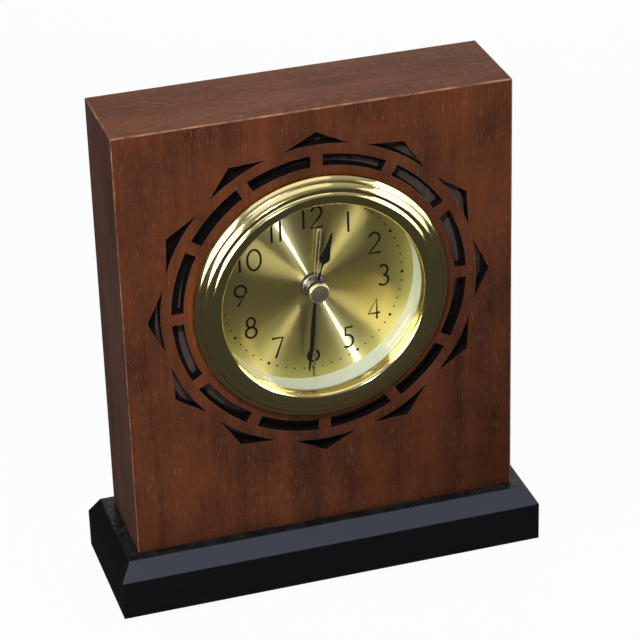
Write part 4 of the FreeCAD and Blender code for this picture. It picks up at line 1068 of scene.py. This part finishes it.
def white_sheet():
    paper = Finish("white_sheet", PAPER_WHITE, Roughness=0.9)
    rays = paper.tree.nodes.new("ShaderNodeLightPath").outputs
    seen = paper.math("MAXIMUM", rays["Is Camera Ray"], rays["Is Glossy Ray"])
    share = paper.math("MULTIPLY", seen, PAPER_GLOW)
    glow = paper.add("ShaderNodeEmission", Color=(1, 1, 1, 1))
    return paper.surface(paper.add("ShaderNodeMixShader", i0=share, i1=paper.shader.outputs[0], i2=glow))


bpy.ops.mesh.primitive_plane_add(size=FLOOR_SIZE, location=(0, 0, 0))
floor = bpy.context.object
floor.name = "floor"
floor.data.materials.append(white_sheet())
print("floor", FLOOR_SIZE, "m wide")

# %% [markdown]
# ## World
# The air gives a weak, even light from all round, as a white room does. The camera and mirror-like surfaces
# see it at full strength instead, so the background stays white.

# %% World
AMBIENT = 0.16
world = bpy.data.worlds.new("studio")
bpy.context.scene.world = world
world.use_nodes = True
air = world.node_tree
rays = air.nodes.new("ShaderNodeLightPath")
bright = rays.outputs["Is Camera Ray"]
for ray in ("Is Glossy Ray", "Is Transmission Ray"):
    either = air.nodes.new("ShaderNodeMath")
    either.operation = "MAXIMUM"
    air.links.new(bright, either.inputs[0])
    air.links.new(rays.outputs[ray], either.inputs[1])
    bright = either.outputs[0]
level = air.nodes.new("ShaderNodeMapRange")
level.inputs["To Min"].default_value = AMBIENT
air.links.new(bright, level.inputs["Value"])
air.links.new(level.outputs[0], air.nodes["Background"].inputs["Strength"])
air.nodes["Background"].inputs["Color"].default_value = (1, 1, 1, 1)
print("ambient light", AMBIENT)

# %% [markdown]
# ## A dark room for the metal
# In a white room polished brass looks flat and pale, because it has nothing dark to reflect. So a large dark
# shell stands round the clock that only reflections can see. It is a little brighter towards its top, and its
# flat bottom lies just over the paper, so that nothing mirrors the white sheet.

# %% Dark room
ROOM_RADIUS, ROOM_RISE, ROOM_FLOOR = 2.6, 0.1, 0.4 * MM
ROOM_TOP, ROOM_DIM, ROOM_BRIGHT = 2.2, 0.05, 0.45
bpy.ops.mesh.primitive_uv_sphere_add(segments=32, ring_count=16, radius=ROOM_RADIUS,
                                     location=(0, 0, ROOM_RISE))
room = bpy.context.object
room.name = "dark_room"
settle(room)
bpy.ops.object.mode_set(mode="EDIT")
bpy.ops.mesh.select_all(action="SELECT")
bpy.ops.mesh.bisect(plane_co=(0, 0, ROOM_FLOOR), plane_no=(0, 0, 1), clear_inner=True, use_fill=True)
bpy.ops.object.mode_set(mode="OBJECT")
dim = Finish("dark_room")
height = dim.tree.nodes.new("ShaderNodeSeparateXYZ")
dim.feed(height.inputs[0], dim.add("ShaderNodeTexCoord", "Object"))
shade = dim.add("ShaderNodeMapRange", Value=height.outputs[2], From_Max=ROOM_TOP, To_Min=ROOM_DIM,
                To_Max=ROOM_BRIGHT)
room.data.materials.append(dim.surface(dim.add("ShaderNodeEmission", Strength=shade)))
for ray in ("camera", "diffuse", "shadow", "transmission"):
    setattr(room, f"visible_{ray}", False)
print("dark room", ROOM_RADIUS, "m")

# %% [markdown]
# ## Lamps
# Wood and brass each need their own light, so most lamps are seen by only one of them. The wood has one small
# key lamp and a soft fill. For the metal, a tiny lamp in front draws the narrow streak on the dial, a small
# one at the right draws the second streak, and soft boxes left and right draw the broad glows and the white
# bands on the rim. One lamp above and one behind are seen by both. Each lamp stands at a direction and a
# distance from the dial's middle.

# %% Lamps
TARGET = Vector((0, FRONT_Y, HUB.z))
GLINT_COLOR = (0.85, 0.95, 1.5)


def lamp(name, toward, distance, size, power, along=(1, 0, 0), seen="all", color=(1, 1, 1)):
    """An area lamp that faces the dial. Its first side lies along the direction that is given."""
    back = Vector(toward).normalized()
    side = (Vector(along) - Vector(along).dot(back) * back).normalized()
    bpy.ops.object.light_add(type="AREA", location=TARGET + distance * back)
    light = bpy.context.object
    light.name = name
    light.rotation_euler = Matrix((side, back.cross(side), back)).transposed().to_euler()
    light.data.energy = power
    light.data.color = color
    light.data.shape = "RECTANGLE"
    light.data.size, light.data.size_y = size
    light.visible_diffuse = seen != "metal"
    light.visible_glossy = seen != "wood"
    print("lamp", name, power, "W")


lamp("key", (-0.16, -0.37, 0.43), 0.50, (0.06, 0.06), 1.42, seen="wood")
lamp("glint", (0.013, -0.999, 0.039), 0.9, (0.012, 0.012), 2.1, seen="metal", color=GLINT_COLOR)
lamp("right_glint", (0.54, -0.84, -0.05), 0.9, (0.13, 0.13), 0.55, seen="metal")
lamp("left_fill", (-0.9, -0.3, 0.1), 0.95, (0.5, 0.5), 1.2, seen="wood")
lamp("left_softbox", (-0.68, -0.69, 0.18), 0.7, (0.95, 0.42), 8.0, (-0.475, 0.833, 0.786), "metal")
lamp("right_softbox", (0.90, -0.335, 0.276), 0.8, (1.05, 0.55), 6.5, (0.28, 1.03, 0.33), "metal")
lamp("top_softbox", (-0.1, -0.2, 0.8), 0.83, (0.9, 0.9), 1.6)
lamp("rear_fill", (0.35, 0.93, 0.1), 0.9, (0.5, 0.5), 3.0)

# %% [markdown]
# ## Camera
# The camera looks down a little from the left, and from far enough away that the case's sides stay nearly
# parallel. It is given by its two angles, its roll, the point that it aims at and its distance.

# %% Camera
CAMERA_AZIMUTH, CAMERA_HEIGHT, CAMERA_ROLL = radians(-16.53), radians(28.14), radians(-1.81)
CAMERA_AIM = Vector((-0.555 * MM, FRONT_Y, 95.03 * MM))
CAMERA_AWAY, CAMERA_LENS, CAMERA_SENSOR = 886.4 * MM, 155.64, 36

flat = cos(CAMERA_HEIGHT)
away = Vector((sin(CAMERA_AZIMUTH) * flat, -cos(CAMERA_AZIMUTH) * flat, sin(CAMERA_HEIGHT)))
camera_data = bpy.data.cameras.new("camera")
camera_data.lens = CAMERA_LENS
camera_data.sensor_width = CAMERA_SENSOR
camera = bpy.data.objects.new("camera", camera_data)
bpy.context.collection.objects.link(camera)
camera.location = CAMERA_AIM + away * CAMERA_AWAY
look = away.to_track_quat("Z", "Y").to_matrix().to_4x4()
camera.matrix_world = Matrix.Translation(camera.location) @ look @ Matrix.Rotation(CAMERA_ROLL, 4, "Z")
bpy.context.scene.camera = camera
print("camera at", tuple(round(part, 3) for part in camera.location))

# %% [markdown]
# ## Colour management
# The Standard view keeps the colours as they were set.

# %% Colour management
bpy.context.scene.view_settings.view_transform = "Standard"
